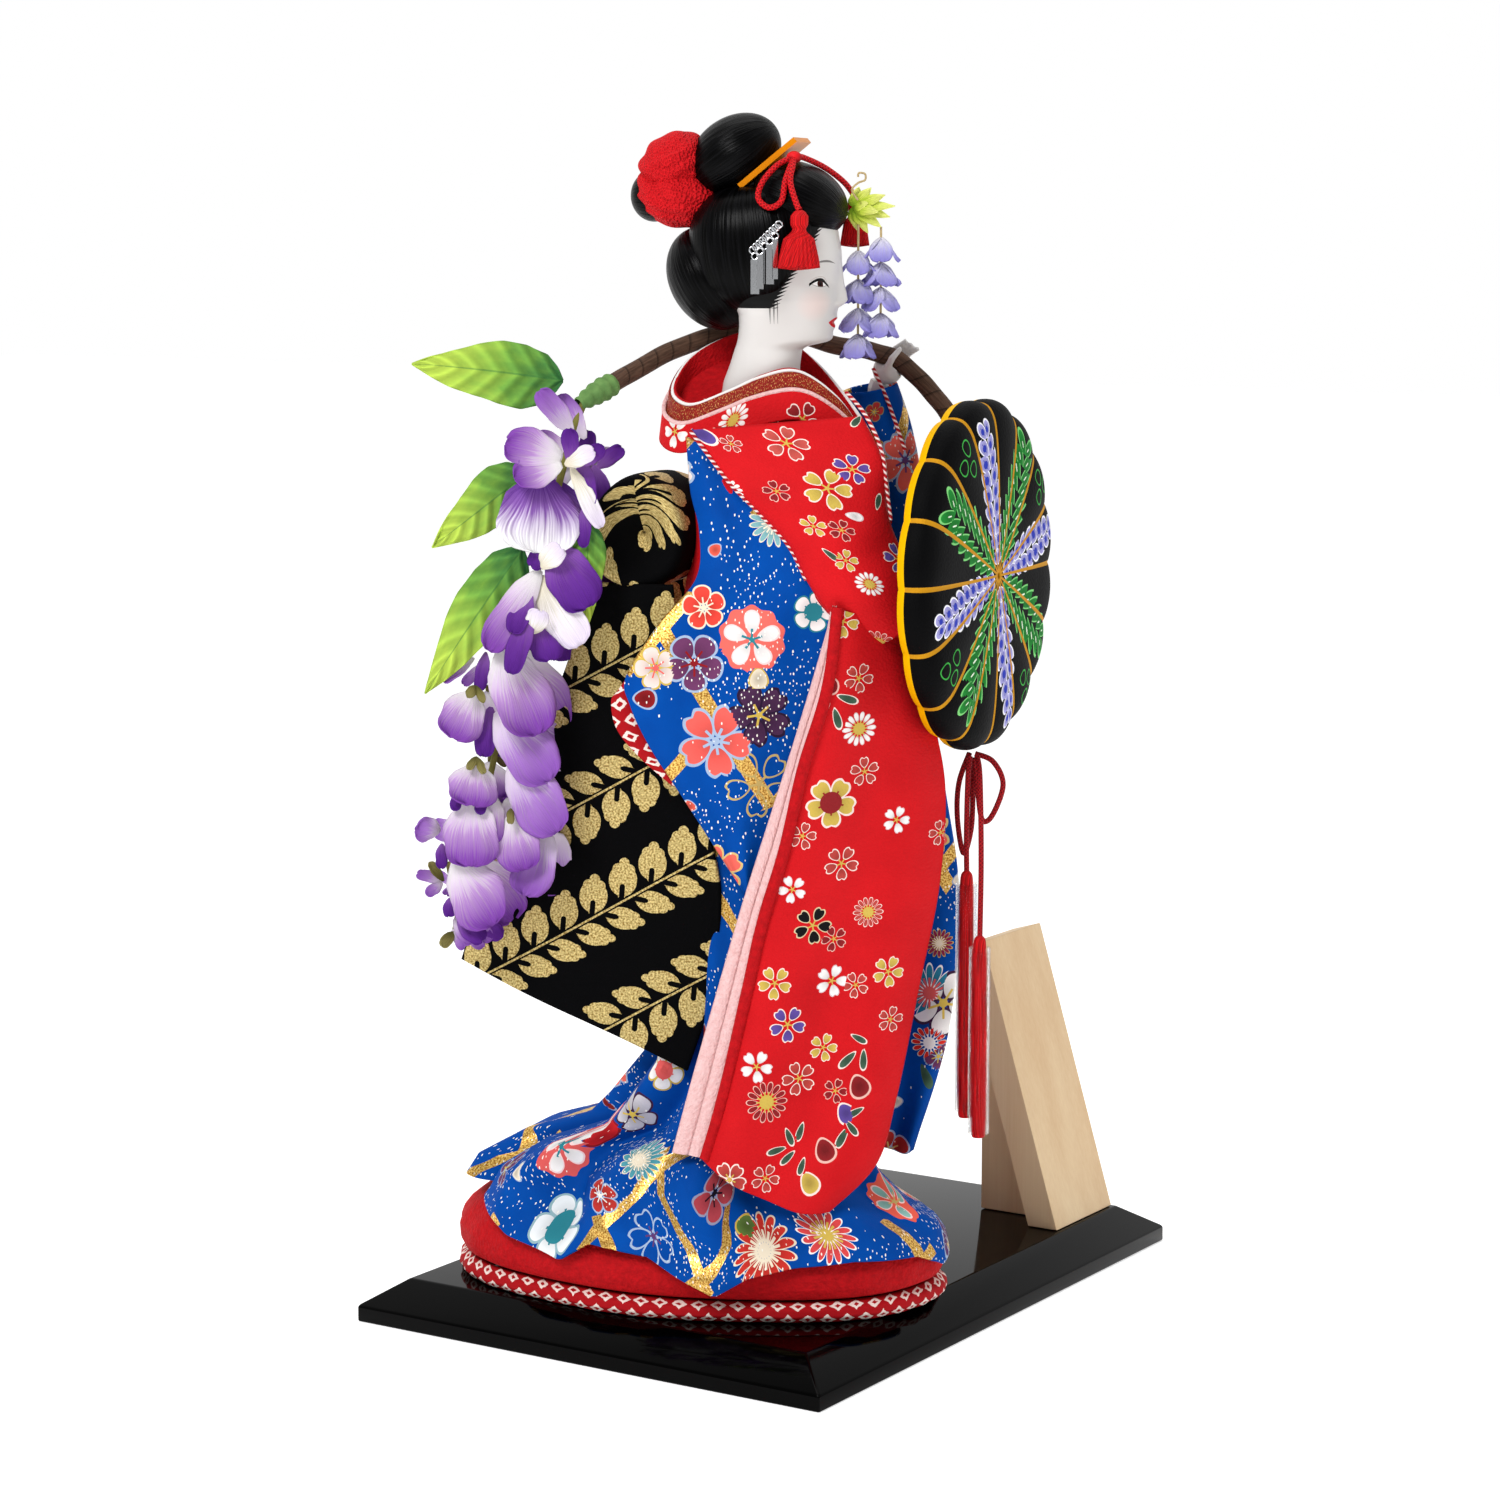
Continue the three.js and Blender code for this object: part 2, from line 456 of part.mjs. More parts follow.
// Hair, each lobe cut to the ones under it
const sideHair = (grow) => egg(SIDE_HAIR.x, 0, SIDE_HAIR.z, SIDE_HAIR.length, SIDE_HAIR.width, SIDE_HAIR.height,
  { grow, around: 18, up: 10 });
const faceCut = block(-60, -60, -60, 60, 60, 0).rotateY(rad(-42)).translate(3, 0, 381);
const cord = [[12, -24.5, 419], [9, -21, 431], [12, -14, 439], [19, -2, 441.5], [26, 10, 438], [31, 17, 428],
  [32, 17.5, 424]].map((p) => [...p, CORD.radius]);
const hairCord = (grow) => bar(cord, { sides: 8, steps: 2, grow, across: at(1, 0.3, 0.2) });
const front = (grow) => egg(13, 0, 426, 19, 22, 14, { tilt: 20, grow });
const bun = (grow) => egg(-12.5, 0, 441, 18.5, 18, 15.5, { grow });
const combPlate = (grow) => block(-16, -13 - grow, -1.1 - grow, 12 + grow, 13 + grow, 1.1 + grow)
  .rotateY(rad(-39)).translate(4, 0, 438.5);
// The silver bar lies along the hair and its prong goes straight in; the leaf pin's prong runs along one line.
const silverBar = [[1, -30, 404.5, 1.2], [6, -30, 409.3, 1.2], [11, -30, 414, 1.2]];
const silverProng = [[6, -30, 409.3, 0.9], [6, -22.5, 409.3, 0.9]];
const silverPin = (grow) => join(
  bar(silverBar, { sides: 8, steps: 1, grow, across: at(0, 1, 0) }),
  bar(silverProng, { sides: 8, steps: 1, grow, across: at(1, 0, 0) }));
const leafLine = (t, radius) => [13 + 20 * t, 4 + 5 * t, 427.3 - 6.3 * t, radius];
const leafProng = (near, far, radius) => bar([leafLine(near, radius), leafLine(far, radius)],
  { sides: 8, steps: 1, across: at(0, 0, 1) });
const leafHead = (grow) => egg(36, 10, 420, 6, 5, 5, { grow, around: 10, up: 8 });
const leafPin = join(leafHead(0), leafProng(0, 1.1, 0.9));
const leafPinGrown = join(leafHead(CLEARANCE), leafProng(-0.1, 2.5, 0.9 + CLEARANCE));
piece("hair_cap", onHead(less(sideHair(0), face(CLEARANCE), faceCut, combPlate(CLEARANCE), silverPin(CLEARANCE),
  leafPinGrown, hairCord(CLEARANCE))), "hair");
const backHair = egg(-20, 0, 391, 19, 21, 15, { tilt: 20 });
piece("hair_back", onHead(less(backHair, sideHair(CLEARANCE), face(CLEARANCE))), "hair");
piece("hair_front", onHead(less(front(0), sideHair(CLEARANCE), face(CLEARANCE), hairCord(CLEARANCE), leafPinGrown,
  combPlate(CLEARANCE))), "hair");
piece("hair_bun", onHead(less(bun(0), sideHair(CLEARANCE), face(CLEARANCE), front(CLEARANCE), combPlate(CLEARANCE),
  hairCord(CLEARANCE))), "hair");
piece("bun_wrap", onHead(less(egg(-37, 0, 432, 15, 17, 16), bun(CLEARANCE), sideHair(CLEARANCE))), "red");
piece("hair_comb", onHead(less(combPlate(0), face(CLEARANCE), hairCord(CLEARANCE))), "amber");
piece("hair_cord", onHead(hairCord(0)), "red");

// A tassel that hangs from a point.
function tassel(x, y, top, bottom, neck, skirtRadius, grow = 0) {
  const rows = [[bottom, x, y, skirtRadius, skirtRadius], [bottom + 4, x, y, skirtRadius * 0.9, skirtRadius * 0.9],
    [top - 5, x, y, neck, neck], [top - 2.5, x, y, neck * 1.15, neck * 1.15], [top, x, y, neck * 0.7, neck * 0.7]];
  return upright(rows, { sides: 12, steps: 1, grow });
}
const hairTasselCuts = [sideHair(CLEARANCE), front(CLEARANCE), face(CLEARANCE), hairCord(CLEARANCE)];
piece("hair_tassel_near", onHead(less(tassel(12, -25, 419, 398, 2.6, 6.5), ...hairTasselCuts)), "red");
piece("hair_tassel_far", onHead(less(tassel(32, 17.5, 424, 406, 2.4, 5), ...hairTasselCuts, leafPinGrown)), "red");

// Hairpins: a silver bar with a fringe of strips, and a leaf pin with petal strings
piece("silver_pin", onHead(silverPin(0)), "silver");
const fringeBar = bar([[1.5, -31.9, 403.4, 0.6], [10, -31.9, 411.6, 0.6]], { sides: 6, across: at(0, 1, 0) });
const strips = [0, 1, 2, 3, 4].map((k) => {
  const x = 2 + 1.95 * k;
  const top = 403.8 + 1.9 * k;
  return block(x - 0.75, -32.15, top - 17, x + 0.75, -31.65, top);
});
piece("silver_fringe", onHead(join(fringeBar, ...strips)), "silver");
piece("flower_pin", onHead(less(leafPin, face(CLEARANCE))), "leaf");
function petalString(x, y, top, bottom) {
  const thread = bar([[x, y, top, 0.5], [x, y, bottom, 0.5]], { sides: 6, steps: 1, across: at(1, 0, 0) });
  const tiers = [0.25, 0.5, 0.75, 0.97].map((f, k) => {
    const half = 3.4 - 0.3 * k;
    return egg(x, y, top + (bottom - top) * f, half, half, 2, { around: 6, up: 4 });
  });
  return join(thread, ...tiers);
}
const yoke = bar([[33, 9, 414, 0.8], [43, 11, 413.2, 0.8]], { sides: 6, steps: 1, across: at(0, 0, 1) });
piece("flower_strings", onHead(join(yoke, petalString(33.5, 9, 414, 370), petalString(42, 11, 413, 374))), "petal");

// Wisteria: branch, tape, stem with buds, blossoms and leaves
const branchRows = [[-44, -9, 353], [-30, 6, 361], [-14, 17, 368], [4, 24, 372], [21, 28, 373], [41, 30, 367.5],
  [57, 31, 364.5], [68, 32, 360.5], [78, 32, 351.5], [87, 31, 341], [94, 30, 325],
  [97, 29, 302]].map((p) => [...p, BRANCH.radius]);
const branch = (grow) => bar(branchRows, { sides: 8, steps: 2, grow, across: at(0, 0.3, 1) });
piece("branch", branch(0), "bark");
const stemRows = [[-52.5, -15, 350, 1.6], [-58, -20, 336, 1.6], [-66, -25, 306, 1.5], [-74, -28, 274, 1.5],
  [-82, -29, 243, 1.4], [-89, -29, 210, 1.4], [-96, -29, 180, 1.3], [-103, -28, 152, 1.2], [-105, -28, 142, 1]];
const stem = (grow) => bar(stemRows, { sides: 6, steps: 1, grow });
const tapeRows = [[-56, -17.5, 346, 4.6], [-50, -13, 350, 5.6], [-42, -7, 354, 5.4], [-36, -1, 357.8, 4.6]];
const tape = (grow) => bar(tapeRows, { sides: 10, steps: 2, grow, across: at(0, 0.3, 1) });
piece("branch_tape", less(tape(0), branch(CLEARANCE), stem(CLEARANCE)), "leaf");
const bud = ([x, y, z, r], grow = 0) => egg(x, y, z, r, r, r * 1.3, { grow, around: 7, up: 5 });
const buds = [[-99, -28, 168, 5], [-101, -28, 157, 4.5], [-104, -28, 147, 4]];
piece("wisteria_stem", join(stem(0), ...buds.map((b) => bud(b))), "leaf");
const stemLine = curve(stemRows.map(([x, y, z]) => [x, y, z]));
// A petal that hangs from the stem: where along it, its lean to the side and forward, length and half width.
function petal([along, lean, forward, long, half], grow = 0) {
  const root = stemLine.getPoint(along);
  const down = at(Math.sin(rad(lean)), -Math.sin(rad(forward)), -Math.cos(rad(lean))).normalize();
  const side = at(Math.cos(rad(lean)), 0, Math.sin(rad(lean)));
  return sheet((s, t) => {
    const wide = half * Math.sin(Math.PI * (0.12 + 0.72 * t)) ** 0.9;
    const p = root.clone().addScaledVector(down, long * t - 1);
    p.addScaledVector(side, (2 * s - 1) * wide);
    p.y -= 4 * Math.sin(Math.PI * t) - 3.5 * (2 * s - 1) ** 2 * t;
    return p;
  }, 2, 3, 1.2, grow);
}
const petals = [[0.06, -15, 30, 30, 14], [0.14, 15, 20, 30, 15], [0.22, -50, 20, 30, 14], [0.32, 15, 45, 32, 16],
  [0.42, -55, 25, 30, 14], [0.44, 60, 20, 30, 14], [0.54, 0, 45, 32, 16], [0.6, -60, 20, 28, 14],
  [0.64, 50, 25, 32, 15], [0.72, -15, 40, 28, 14], [0.78, 40, 25, 26, 13]];
const bloomCuts = [stem(CLEARANCE), loop(CLEARANCE), nearTail(CLEARANCE), slip(CLEARANCE), trim(CLEARANCE),
  branch(CLEARANCE), tape(CLEARANCE), ...buds.map((b) => bud(b, CLEARANCE))];
const sepalRows = [0.06, 0.25, 0.5, 0.7, 0.86].map((t) => [...stemLine.getPoint(t).toArray(), 3.2]);
const sepals = bar(sepalRows, { sides: 8, steps: 2 });
piece("wisteria_blossoms", less(join(sepals, ...petals.map((p) => petal(p))), ...bloomCuts), "petal");

// A leaf from its stalk to its tip, with a half width and a droop across it.
function leafSheet(from, to, half, droop) {
  const a = at(...from);
  const b = at(...to);
  const side = at(-(b.z - a.z), 0, b.x - a.x).normalize();
  return sheet((s, t) => {
    const p = a.clone().lerp(b, t);
    const wide = half * Math.sin(Math.PI * Math.min(0.06 + 0.94 * t, 0.97)) ** 0.8;
    p.addScaledVector(side, (s - 0.5) * 2 * wide);
    p.y += droop * (2 * s - 1) ** 2 - 3 * Math.sin(Math.PI * t);
    return p;
  }, 4, 6, 1);
}
const leafCuts = [...bloomCuts, ...petals.map((p) => petal(p, CLEARANCE)), tape(CLEARANCE)];
piece("leaf_1", less(leafSheet([-58, -22, 349], [-117, -30, 361], 12, 4), ...leafCuts), "leaf");
piece("leaf_2", less(leafSheet([-74, -31, 320], [-111, -34, 293], 10, 4), ...leafCuts), "leaf");
piece("leaf_3", less(leafSheet([-82, -40, 292], [-112, -38, 238], 13, 5), ...leafCuts), "leaf");
piece("leaf_4", less(leafSheet([-50, -40, 314], [-49, -44, 268], 8, 4), ...leafCuts), "leaf");

// Hands
const rightHand = join(egg(84, -12, 270, 8, 6, 7, { around: 10, up: 8 }),
  egg(90, -6, 274, 5, 5, 8, { around: 8, up: 6 }));
const palm = egg(64, 34, 357, 6.5, 5.5, 6, { tilt: -45, around: 10, up: 8 });
const fingerRows = (k) => [[63 + 2.8 * k, 38, 359 - k, 1.6], [67 + 2.6 * k, 39, 365 - k, 1.5],
  [71.5 + 2.4 * k, 36.5, 368.5 - 1.6 * k, 1.1]];
const fingers = [0, 1, 2].map((k) => bar(fingerRows(k), { sides: 6, steps: 1, across: at(0.7, 0, -0.7) }));
const thumbRows = [[63, 29.6, 357, 1.7], [65.5, 26.6, 362, 1.5], [69, 27, 366, 1.1]];
const thumb = bar(thumbRows, { sides: 6, steps: 1, across: at(1, 0, 0) });
piece("left_hand", less(join(palm, ...fingers, thumb), branch(CLEARANCE), leftArm(CLEARANCE), raised(CLEARANCE)),
  "skin");

// Hat shell and the pad inside it
function crown(inside) {
  const wall = inside ? HAT.wall : 0;
  const r = HAT.radius - wall;
  const d = HAT.depth - wall;
  const profile = [[inside ? -1 : 0, r], [d * 0.4, r * 1.005], [d * 0.75, r * 0.985], [d * 0.96, r * 0.92],
    [d * 1.04, r * 0.78], [d * 1.06, r * 0.45], [d * 0.98, r * 0.06]];
  const sides = HAT.lobes * (inside ? 1 : 2);
  return skin(profile.map(([x, radius], k) => {
    const ring = [];
    for (let i = 0; i < sides; i++) {
      const angle = (i / sides) * 2 * Math.PI;
      const puff = inside || k === 0 ? 0 : HAT.lobe * (Math.abs(Math.sin((HAT.lobes * angle) / 2)) - 0.5);
      const lift = k < 3 ? 0 : puff;
      const full = radius + (k < 4 ? puff : 0);
      ring.push(at(x + lift * 0.8, full * Math.cos(angle), full * Math.sin(angle)));
    }
    return ring;
  }));
}
piece("hat_shell", onHat(less(crown(false), crown(true))), "black");
const padBack = HAT.depth * 0.98 - HAT.wall - HAT.lobe - CLEARANCE;
const disc = (front, back, high) => new THREE.CylinderGeometry(front, back, high, 20).rotateZ(Math.PI / 2)
  .translate(padBack - PAD.height / 2, 0, 0);
const pad = disc(PAD.radius, PAD.radius * 0.9, PAD.height);
const padGrown = disc(PAD.radius + CLEARANCE, PAD.radius + CLEARANCE, PAD.height + 2 * CLEARANCE);
piece("hat_strap", onHat(less(pad, crown(false).clone().translate(HAT.depth * 1.2, 0, 0))), "red");
piece("right_hand", less(rightHand, onHat(padGrown), rightArm(CLEARANCE), upper(CLEARANCE)), "skin");

// Hat cord: a bow under the rim, two ends, their tassels and clear sleeves
const knot = at(HAT.x + 4, HAT.y - 2, HAT.z - HAT.radius * 1.005 - HAT.lobe * 0.5 - 1.6);
function rope(points, grow = 0) {
  const rows = points.map(([x, y, z]) => [knot.x + x, knot.y + y, knot.z + z, CORD.radius]);
  return bar(rows, { sides: 8, steps: 2, grow, across: at(0, 1, 0.1) });
}
const knotBall = (grow) => egg(knot.x, knot.y, knot.z, 3, 2.6, 2.8, { grow, around: 10, up: 8 });
const bowRight = [[1, -0.5, 0], [8, -1.5, -3], [12, -2, -12], [8, -2, -24], [4, -2, -26], [2, -1.8, -14],
  [0.5, -1, -2]];
const bowLeft = [[-1, 1.5, 0], [-5, 2.5, -12], [-5.5, 3, -26], [-3, 3, -40], [0, 3, -30], [0.5, 2.5, -14],
  [0.5, 1.5, -2]];
piece("hat_cord_bow", join(knotBall(0), rope(bowRight), rope(bowLeft)), "red");
const endA = [[-1.2, -4.3, -0.5], [-2, -6, -9], [-2.4, -6.2, -30], [-2.2, -6.2, -46]];
const endB = [[1.6, -4.3, -0.5], [2.6, -8, -9], [3, -13, -40], [2.6, -15.6, -70]];
piece("hat_cord_end_a", less(rope(endA), knotBall(CLEARANCE), rope(bowLeft, CLEARANCE)), "red");
piece("hat_cord_end_b", less(rope(endB), knotBall(CLEARANCE), rope(bowRight, CLEARANCE)), "red");
function sleeved(name, end, long) {
  const [x, y, z] = end[end.length - 1];
  const top = knot.z + z - CLEARANCE;
  const px = knot.x + x;
  const py = knot.y + y;
  piece(`hat_tassel_${name}`, tassel(px, py, top, top - long, TASSEL.radius * 0.8, TASSEL.radius), "red");
  const wall = TASSEL.sleeve - TASSEL.sleeveWall;
  piece(`tassel_sleeve_${name}`, less(post(px, py, top - long - 2, top - 4, TASSEL.sleeve, 16),
    post(px, py, top - long - 4, top, wall, 16)), "clear");
}
sleeved("a", endA, 93);
sleeved("b", endB, 76);

// Plaque: a board that leans back on its stay at the board's right front corner
const plaqueLeft = BASE.width / 2 - BASE.bevelInset - PLAQUE.fromEdge - PLAQUE.width;
const plaqueFront = -(BASE.depth / 2 - BASE.bevelInset) + PLAQUE.fromEdge;
const slope = Math.tan(rad(PLAQUE.lean));
const foot = PLAQUE.thick / Math.cos(rad(PLAQUE.lean));
const rise = PLAQUE.length * Math.cos(rad(PLAQUE.lean));
const boardShape = new THREE.Shape();
boardShape.moveTo(0, 0);
boardShape.lineTo(foot, 0);
const backTop = [PLAQUE.thick * Math.cos(rad(PLAQUE.lean)), PLAQUE.thick * Math.sin(rad(PLAQUE.lean))];
boardShape.lineTo(rise * slope + backTop[0], rise - backTop[1]);
boardShape.lineTo(rise * slope, rise);
const stayTop = rise * 0.86;
const stayShape = new THREE.Shape();
stayShape.moveTo(foot + 2 * CLEARANCE, 0);
stayShape.lineTo(stayTop * slope + foot, 0);
stayShape.lineTo(stayTop * slope + foot, stayTop - 2 * CLEARANCE / slope);
function plaquePart(outline, left, wide) {
  const geometry = new THREE.ExtrudeGeometry(outline, { depth: wide, bevelEnabled: false });
  geometry.rotateX(Math.PI / 2).rotateZ(Math.PI / 2);
  return geometry.translate(left, plaqueFront, BASE_TOP + CLEARANCE);
}
piece("plaque_board", plaquePart(boardShape, plaqueLeft, PLAQUE.width), "wood", whole);
piece("plaque_stay", plaquePart(stayShape, plaqueLeft + 15, PLAQUE.stay), "wood", whole);

export default whole;
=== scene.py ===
# %% [markdown]
# # A dancer doll in layered kimono
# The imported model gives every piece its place. This lesson dresses it: cloth that is printed and
# padded, hair, a painted face, a lacquered hat and a silk wisteria branch. Everything is in metres
# in the model's own frame. The doll herself is drawn in millimetres in a frame of her own, with +X
# to the right of the picture, +Y away from the viewer and Z measured from the top of the board.

# %% Load the frame
import math
import random
from functools import partial

import bpy
import numpy as np
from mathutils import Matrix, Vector


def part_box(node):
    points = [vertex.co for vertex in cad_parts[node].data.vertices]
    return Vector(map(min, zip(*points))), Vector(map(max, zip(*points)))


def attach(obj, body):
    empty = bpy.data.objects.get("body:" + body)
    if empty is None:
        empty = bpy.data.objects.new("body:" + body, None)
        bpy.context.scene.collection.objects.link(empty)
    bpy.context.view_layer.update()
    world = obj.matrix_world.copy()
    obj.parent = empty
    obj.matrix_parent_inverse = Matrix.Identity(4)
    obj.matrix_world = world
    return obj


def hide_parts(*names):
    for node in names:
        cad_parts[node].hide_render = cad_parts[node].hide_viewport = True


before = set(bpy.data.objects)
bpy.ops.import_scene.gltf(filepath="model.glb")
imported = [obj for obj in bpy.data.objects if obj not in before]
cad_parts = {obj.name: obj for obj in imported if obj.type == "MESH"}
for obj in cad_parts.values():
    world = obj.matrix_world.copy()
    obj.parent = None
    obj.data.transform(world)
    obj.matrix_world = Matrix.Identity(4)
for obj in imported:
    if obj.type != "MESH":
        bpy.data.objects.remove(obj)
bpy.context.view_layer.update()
board_low, board_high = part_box("base_board")
rod_low, rod_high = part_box("stand_rod")
FOOT = 500 * (rod_low + rod_high)
BASE_TOP = 1000 * board_high.z
SIDE_TURN = math.radians(-57.3)  # from the doll's own frame to the model's
FACING = math.radians(-20)  # how far her robe is turned in her own frame

# %% [markdown]
# ## Camera, light and floor
# The doll was photographed from her right side with a long lens, so lines that run away from the
# viewer hardly close in. The camera stands 1.5 m off, looks eight degrees down and has a 92 mm lens.
# Big soft lamps and a white room give the even light of a catalogue picture.

# %% Camera, light and floor
scene = bpy.context.scene
scene.view_settings.view_transform = "Standard"
bpy.ops.object.select_all(action="DESELECT")
bpy.ops.object.camera_add(
    location=(-1.2886, -0.8145, 0.4390),
    rotation=(math.radians(90 - 8.17), 0, math.radians(-57.31)))
camera = bpy.context.object
camera.data.lens = 91.58
camera.data.sensor_width = 36
scene.camera = camera

world = bpy.data.worlds.new("white_room")
scene.world = world
world.use_nodes = True
world.node_tree.nodes["Background"].inputs["Strength"].default_value = 1.0

LAMPS = {
    "key_lamp": ((-1.10, -0.05, 1.15), 0.5, 12.5),
    "front_lamp": ((0.15, -1.35, 0.85), 0.8, 2.5),
    "top_lamp": ((0.1, 0.1, 1.5), 0.9, 4),
}
for name, (place, size, watts) in LAMPS.items():
    bpy.ops.object.light_add(type="AREA", location=place)
    lamp = bpy.context.object
    lamp.name = name
    lamp.data.size = size
    lamp.data.energy = watts
    aim = Vector((-0.03, 0, 0.24)) - Vector(place)
    lamp.rotation_euler = aim.to_track_quat("-Z", "Y").to_euler()

bpy.ops.mesh.primitive_plane_add(size=14)
floor = bpy.context.object
floor.name = "floor"
print("lamps", list(LAMPS))

# %% [markdown]
# ## Colours and nodes
# Paint is matched as sRGB hex values, and Blender wants linear light, so one function turns the one into
# the other. Another small function adds a node, sets it up and links it. A kind in capitals is an operation
# of the Math node. A word after a dot is the node's operation, or the sort of data that it works on. An
# input is a value or another node.


# %% Colour and node helpers
def linear(hex_colour):
    """A linear RGBA colour from an sRGB hex value."""
    parts = [int(hex_colour[i:i + 2], 16) / 255 for i in (1, 3, 5)]
    return tuple(c / 12.92 if c < 0.04045 else ((c + 0.055) / 1.055) ** 2.4 for c in parts) + (1.0,)


def fill(socket, value):
    """The socket takes a value, or a link from another node's first open output."""
    if isinstance(value, bpy.types.Node):
        value = next(o for o in value.outputs if o.enabled)
    if isinstance(value, bpy.types.NodeSocket):
        socket.id_data.links.new(value, socket)
    elif value is not None:
        socket.default_value = value


def feed(shader, **sockets):
    """The shader's sockets take these values or nodes."""
    for name, value in sockets.items():
        fill(shader.inputs[name.replace("_", " ")], value)


MODES = {"Mix": "data_type", "TexNoise": "noise_dimensions", "TexVoronoi": "voronoi_dimensions"}


def add_node(tree, kind, *inputs, **settings):
    """A new node of that kind, with its settings, and with its open sockets filled in order."""
    kind, _, mode = ("Math." + kind if kind.isupper() else kind).partition(".")
    node = tree.nodes.new("ShaderNode" + kind)
    if mode:
        setattr(node, MODES.get(kind, "operation"), mode)
    for name, value in settings.items():
        setattr(node, name, value)
    for socket, value in zip([s for s in node.inputs if s.enabled], inputs):
        fill(socket, value)
    return node


def new_material(name, **sockets):
    """A material with these values, the function that adds a node to it, and its shader."""
    material = bpy.data.materials.new(name)
    material.use_nodes = True
    shader = material.node_tree.nodes["Principled BSDF"]
    feed(shader, Specular_IOR_Level=0.12)
    feed(shader, **sockets)
    return material, partial(add_node, material.node_tree), shader


def paint(obj, material):
    """The piece has this one material."""
    obj.data.materials.clear()
    obj.data.materials.append(material)


paint(floor, new_material("white_paper", Roughness=0.9, Base_Color=(0.95, 0.95, 0.95, 1),
                          Emission_Color=(1, 1, 1, 1), Emission_Strength=0.42)[0])
add = partial(add_node, world.node_tree)
ahead = add("VectorMath.DOT_PRODUCT", add("TexCoord").outputs["Generated"], (0.845, 0.534, 0.0))
glow = add("MapRange", ahead.outputs["Value"], -0.2, 0.4, 0.36, 1.0)
feed(world.node_tree.nodes["Background"], Color=glow)
print("the room darkens behind the viewer")

# %% [markdown]
# ## Placing points
# Points are worked out in the doll's own millimetres, and go to the model's frame in metres last. An
# edge could be a curve object, but a formula that runs smoothly through a few listed points is
# shorter, and it gives a point anywhere on the way.


# %% Placing helpers
def swung(points, angle, home):
    """Points turned about Z and then moved by home."""
    p = np.asarray(points, float)
    c, s = math.cos(angle), math.sin(angle)
    return np.stack([c * p[..., 0] - s * p[..., 1], s * p[..., 0] + c * p[..., 1], p[..., 2]], -1) + home


def to_row(points):
    """Figure millimetres as metres in the model's frame."""
    return swung(points, SIDE_TURN, (FOOT.x, FOOT.y, BASE_TOP)) / 1000


def along(points, t):
    """Points on a smooth curve through listed ones, as t runs from 0 to 1."""
    p = np.asarray(points, float)
    x = np.clip(np.asarray(t, float), 0, 1) * (len(p) - 1)
    i = np.minimum(x.astype(int), len(p) - 2)
    f = (x - i)[..., None]
    a, b, c, d = (p[np.clip(i + k, 0, len(p) - 1)] for k in (-1, 0, 1, 2))
    curve = 2 * b + (c - a) * f + (2 * a - 5 * b + 4 * c - d) * f**2 + (3 * b - a - 3 * c + d) * f**3
    return 0.5 * curve


def unit(v):
    """Vectors of length one."""
    return v / np.maximum(np.linalg.norm(v, axis=-1, keepdims=True), 1e-9)


def ease(x, low, high):
    """A smooth step from 0 at low to 1 at high."""
    f = np.clip((np.asarray(x, float) - low) / (high - low), 0, 1)
    return f * f * (3 - 2 * f)


# %% [markdown]
# ### Working on a mesh
# Blender's operators act on whatever is selected and active, so each helper picks its piece first.
# A modifier could stay live, but it is applied here, because the finished mesh is what is handed on.


# %% Working on a mesh
def read(items, name, width, kind):
    """A field of every item of a mesh's list, as an array."""
    values = np.empty(len(items) * width, kind)
    items.foreach_get(name, values)
    return values.reshape(-1, width).squeeze()


def pick(obj):
    """Only this piece is selected, and it is the active one."""
    bpy.ops.object.select_all(action="DESELECT")
    obj.select_set(True)
    bpy.context.view_layer.objects.active = obj


def finish_mesh(obj, finish, body, *nodes, slot=None):
    """The finish, smooth shading, the body that carries the piece, and the CAD nodes that it stands for.
    The slot argument is not used."""
    if finish:
        paint(obj, finish)
    pick(obj)
    bpy.ops.object.shade_smooth()
    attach(obj, body)
    if nodes:
        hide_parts(*nodes)
    print(obj.name, "on", body, "for", nodes)
    return obj


def modify(obj, kind, **settings):
    """A modifier with its settings, applied."""
    pick(obj)
    modifier = obj.modifiers.new(kind.lower(), kind)
    for name, value in settings.items():
        setattr(modifier, name, value)
    bpy.ops.object.modifier_apply(modifier=modifier.name)


def in_edit(obj, *steps):
    """Edit-mode operators on the whole mesh: each step is an operator and its settings."""
    pick(obj)
    bpy.ops.object.mode_set(mode="EDIT")
    for operator, settings in steps:
        bpy.ops.mesh.select_all(action="SELECT")
        operator(**settings)
    bpy.ops.object.mode_set(mode="OBJECT")


print("Blender", bpy.app.version_string)

# %% [markdown]
# ### Pixels of the photograph
# Where the photograph shows an edge clearly, its pixels are the best measure. The camera is known, so
# a pixel and a depth give a point on the doll, and a point gives its pixel.

# %% Pixels of the photograph
MIDDLE = 750  # pixels from the photograph's edge to its middle
ZOOM = 2 * MIDDLE * camera.data.lens / camera.data.sensor_width
EYE = np.array(camera.location)
LOOK = np.array(camera.rotation_euler.to_matrix())


def picture(points):
    """Where points of the model's frame are seen in the photograph, in pixels, and how far off."""
    x, y, z = ((np.asarray(points) - EYE) @ LOOK).T
    return MIDDLE - ZOOM * x / z, MIDDLE + ZOOM * y / z, -z


def from_picture(*rows):
    """Figure points that are seen at pixels of the photograph: a row is px, py and the depth y."""
    x, y, depth = np.transpose(np.asarray(rows, float))
    ray = np.stack([(x - MIDDLE) / ZOOM, (MIDDLE - y) / ZOOM, -np.ones(len(x))], 1)
    ray = swung(ray @ LOOK.T, -SIDE_TURN, 0)
    home = swung(1000 * EYE - (FOOT.x, FOOT.y, BASE_TOP), -SIDE_TURN, 0)
    return home + ray * ((depth - home[1]) / ray[:, 1])[:, None]


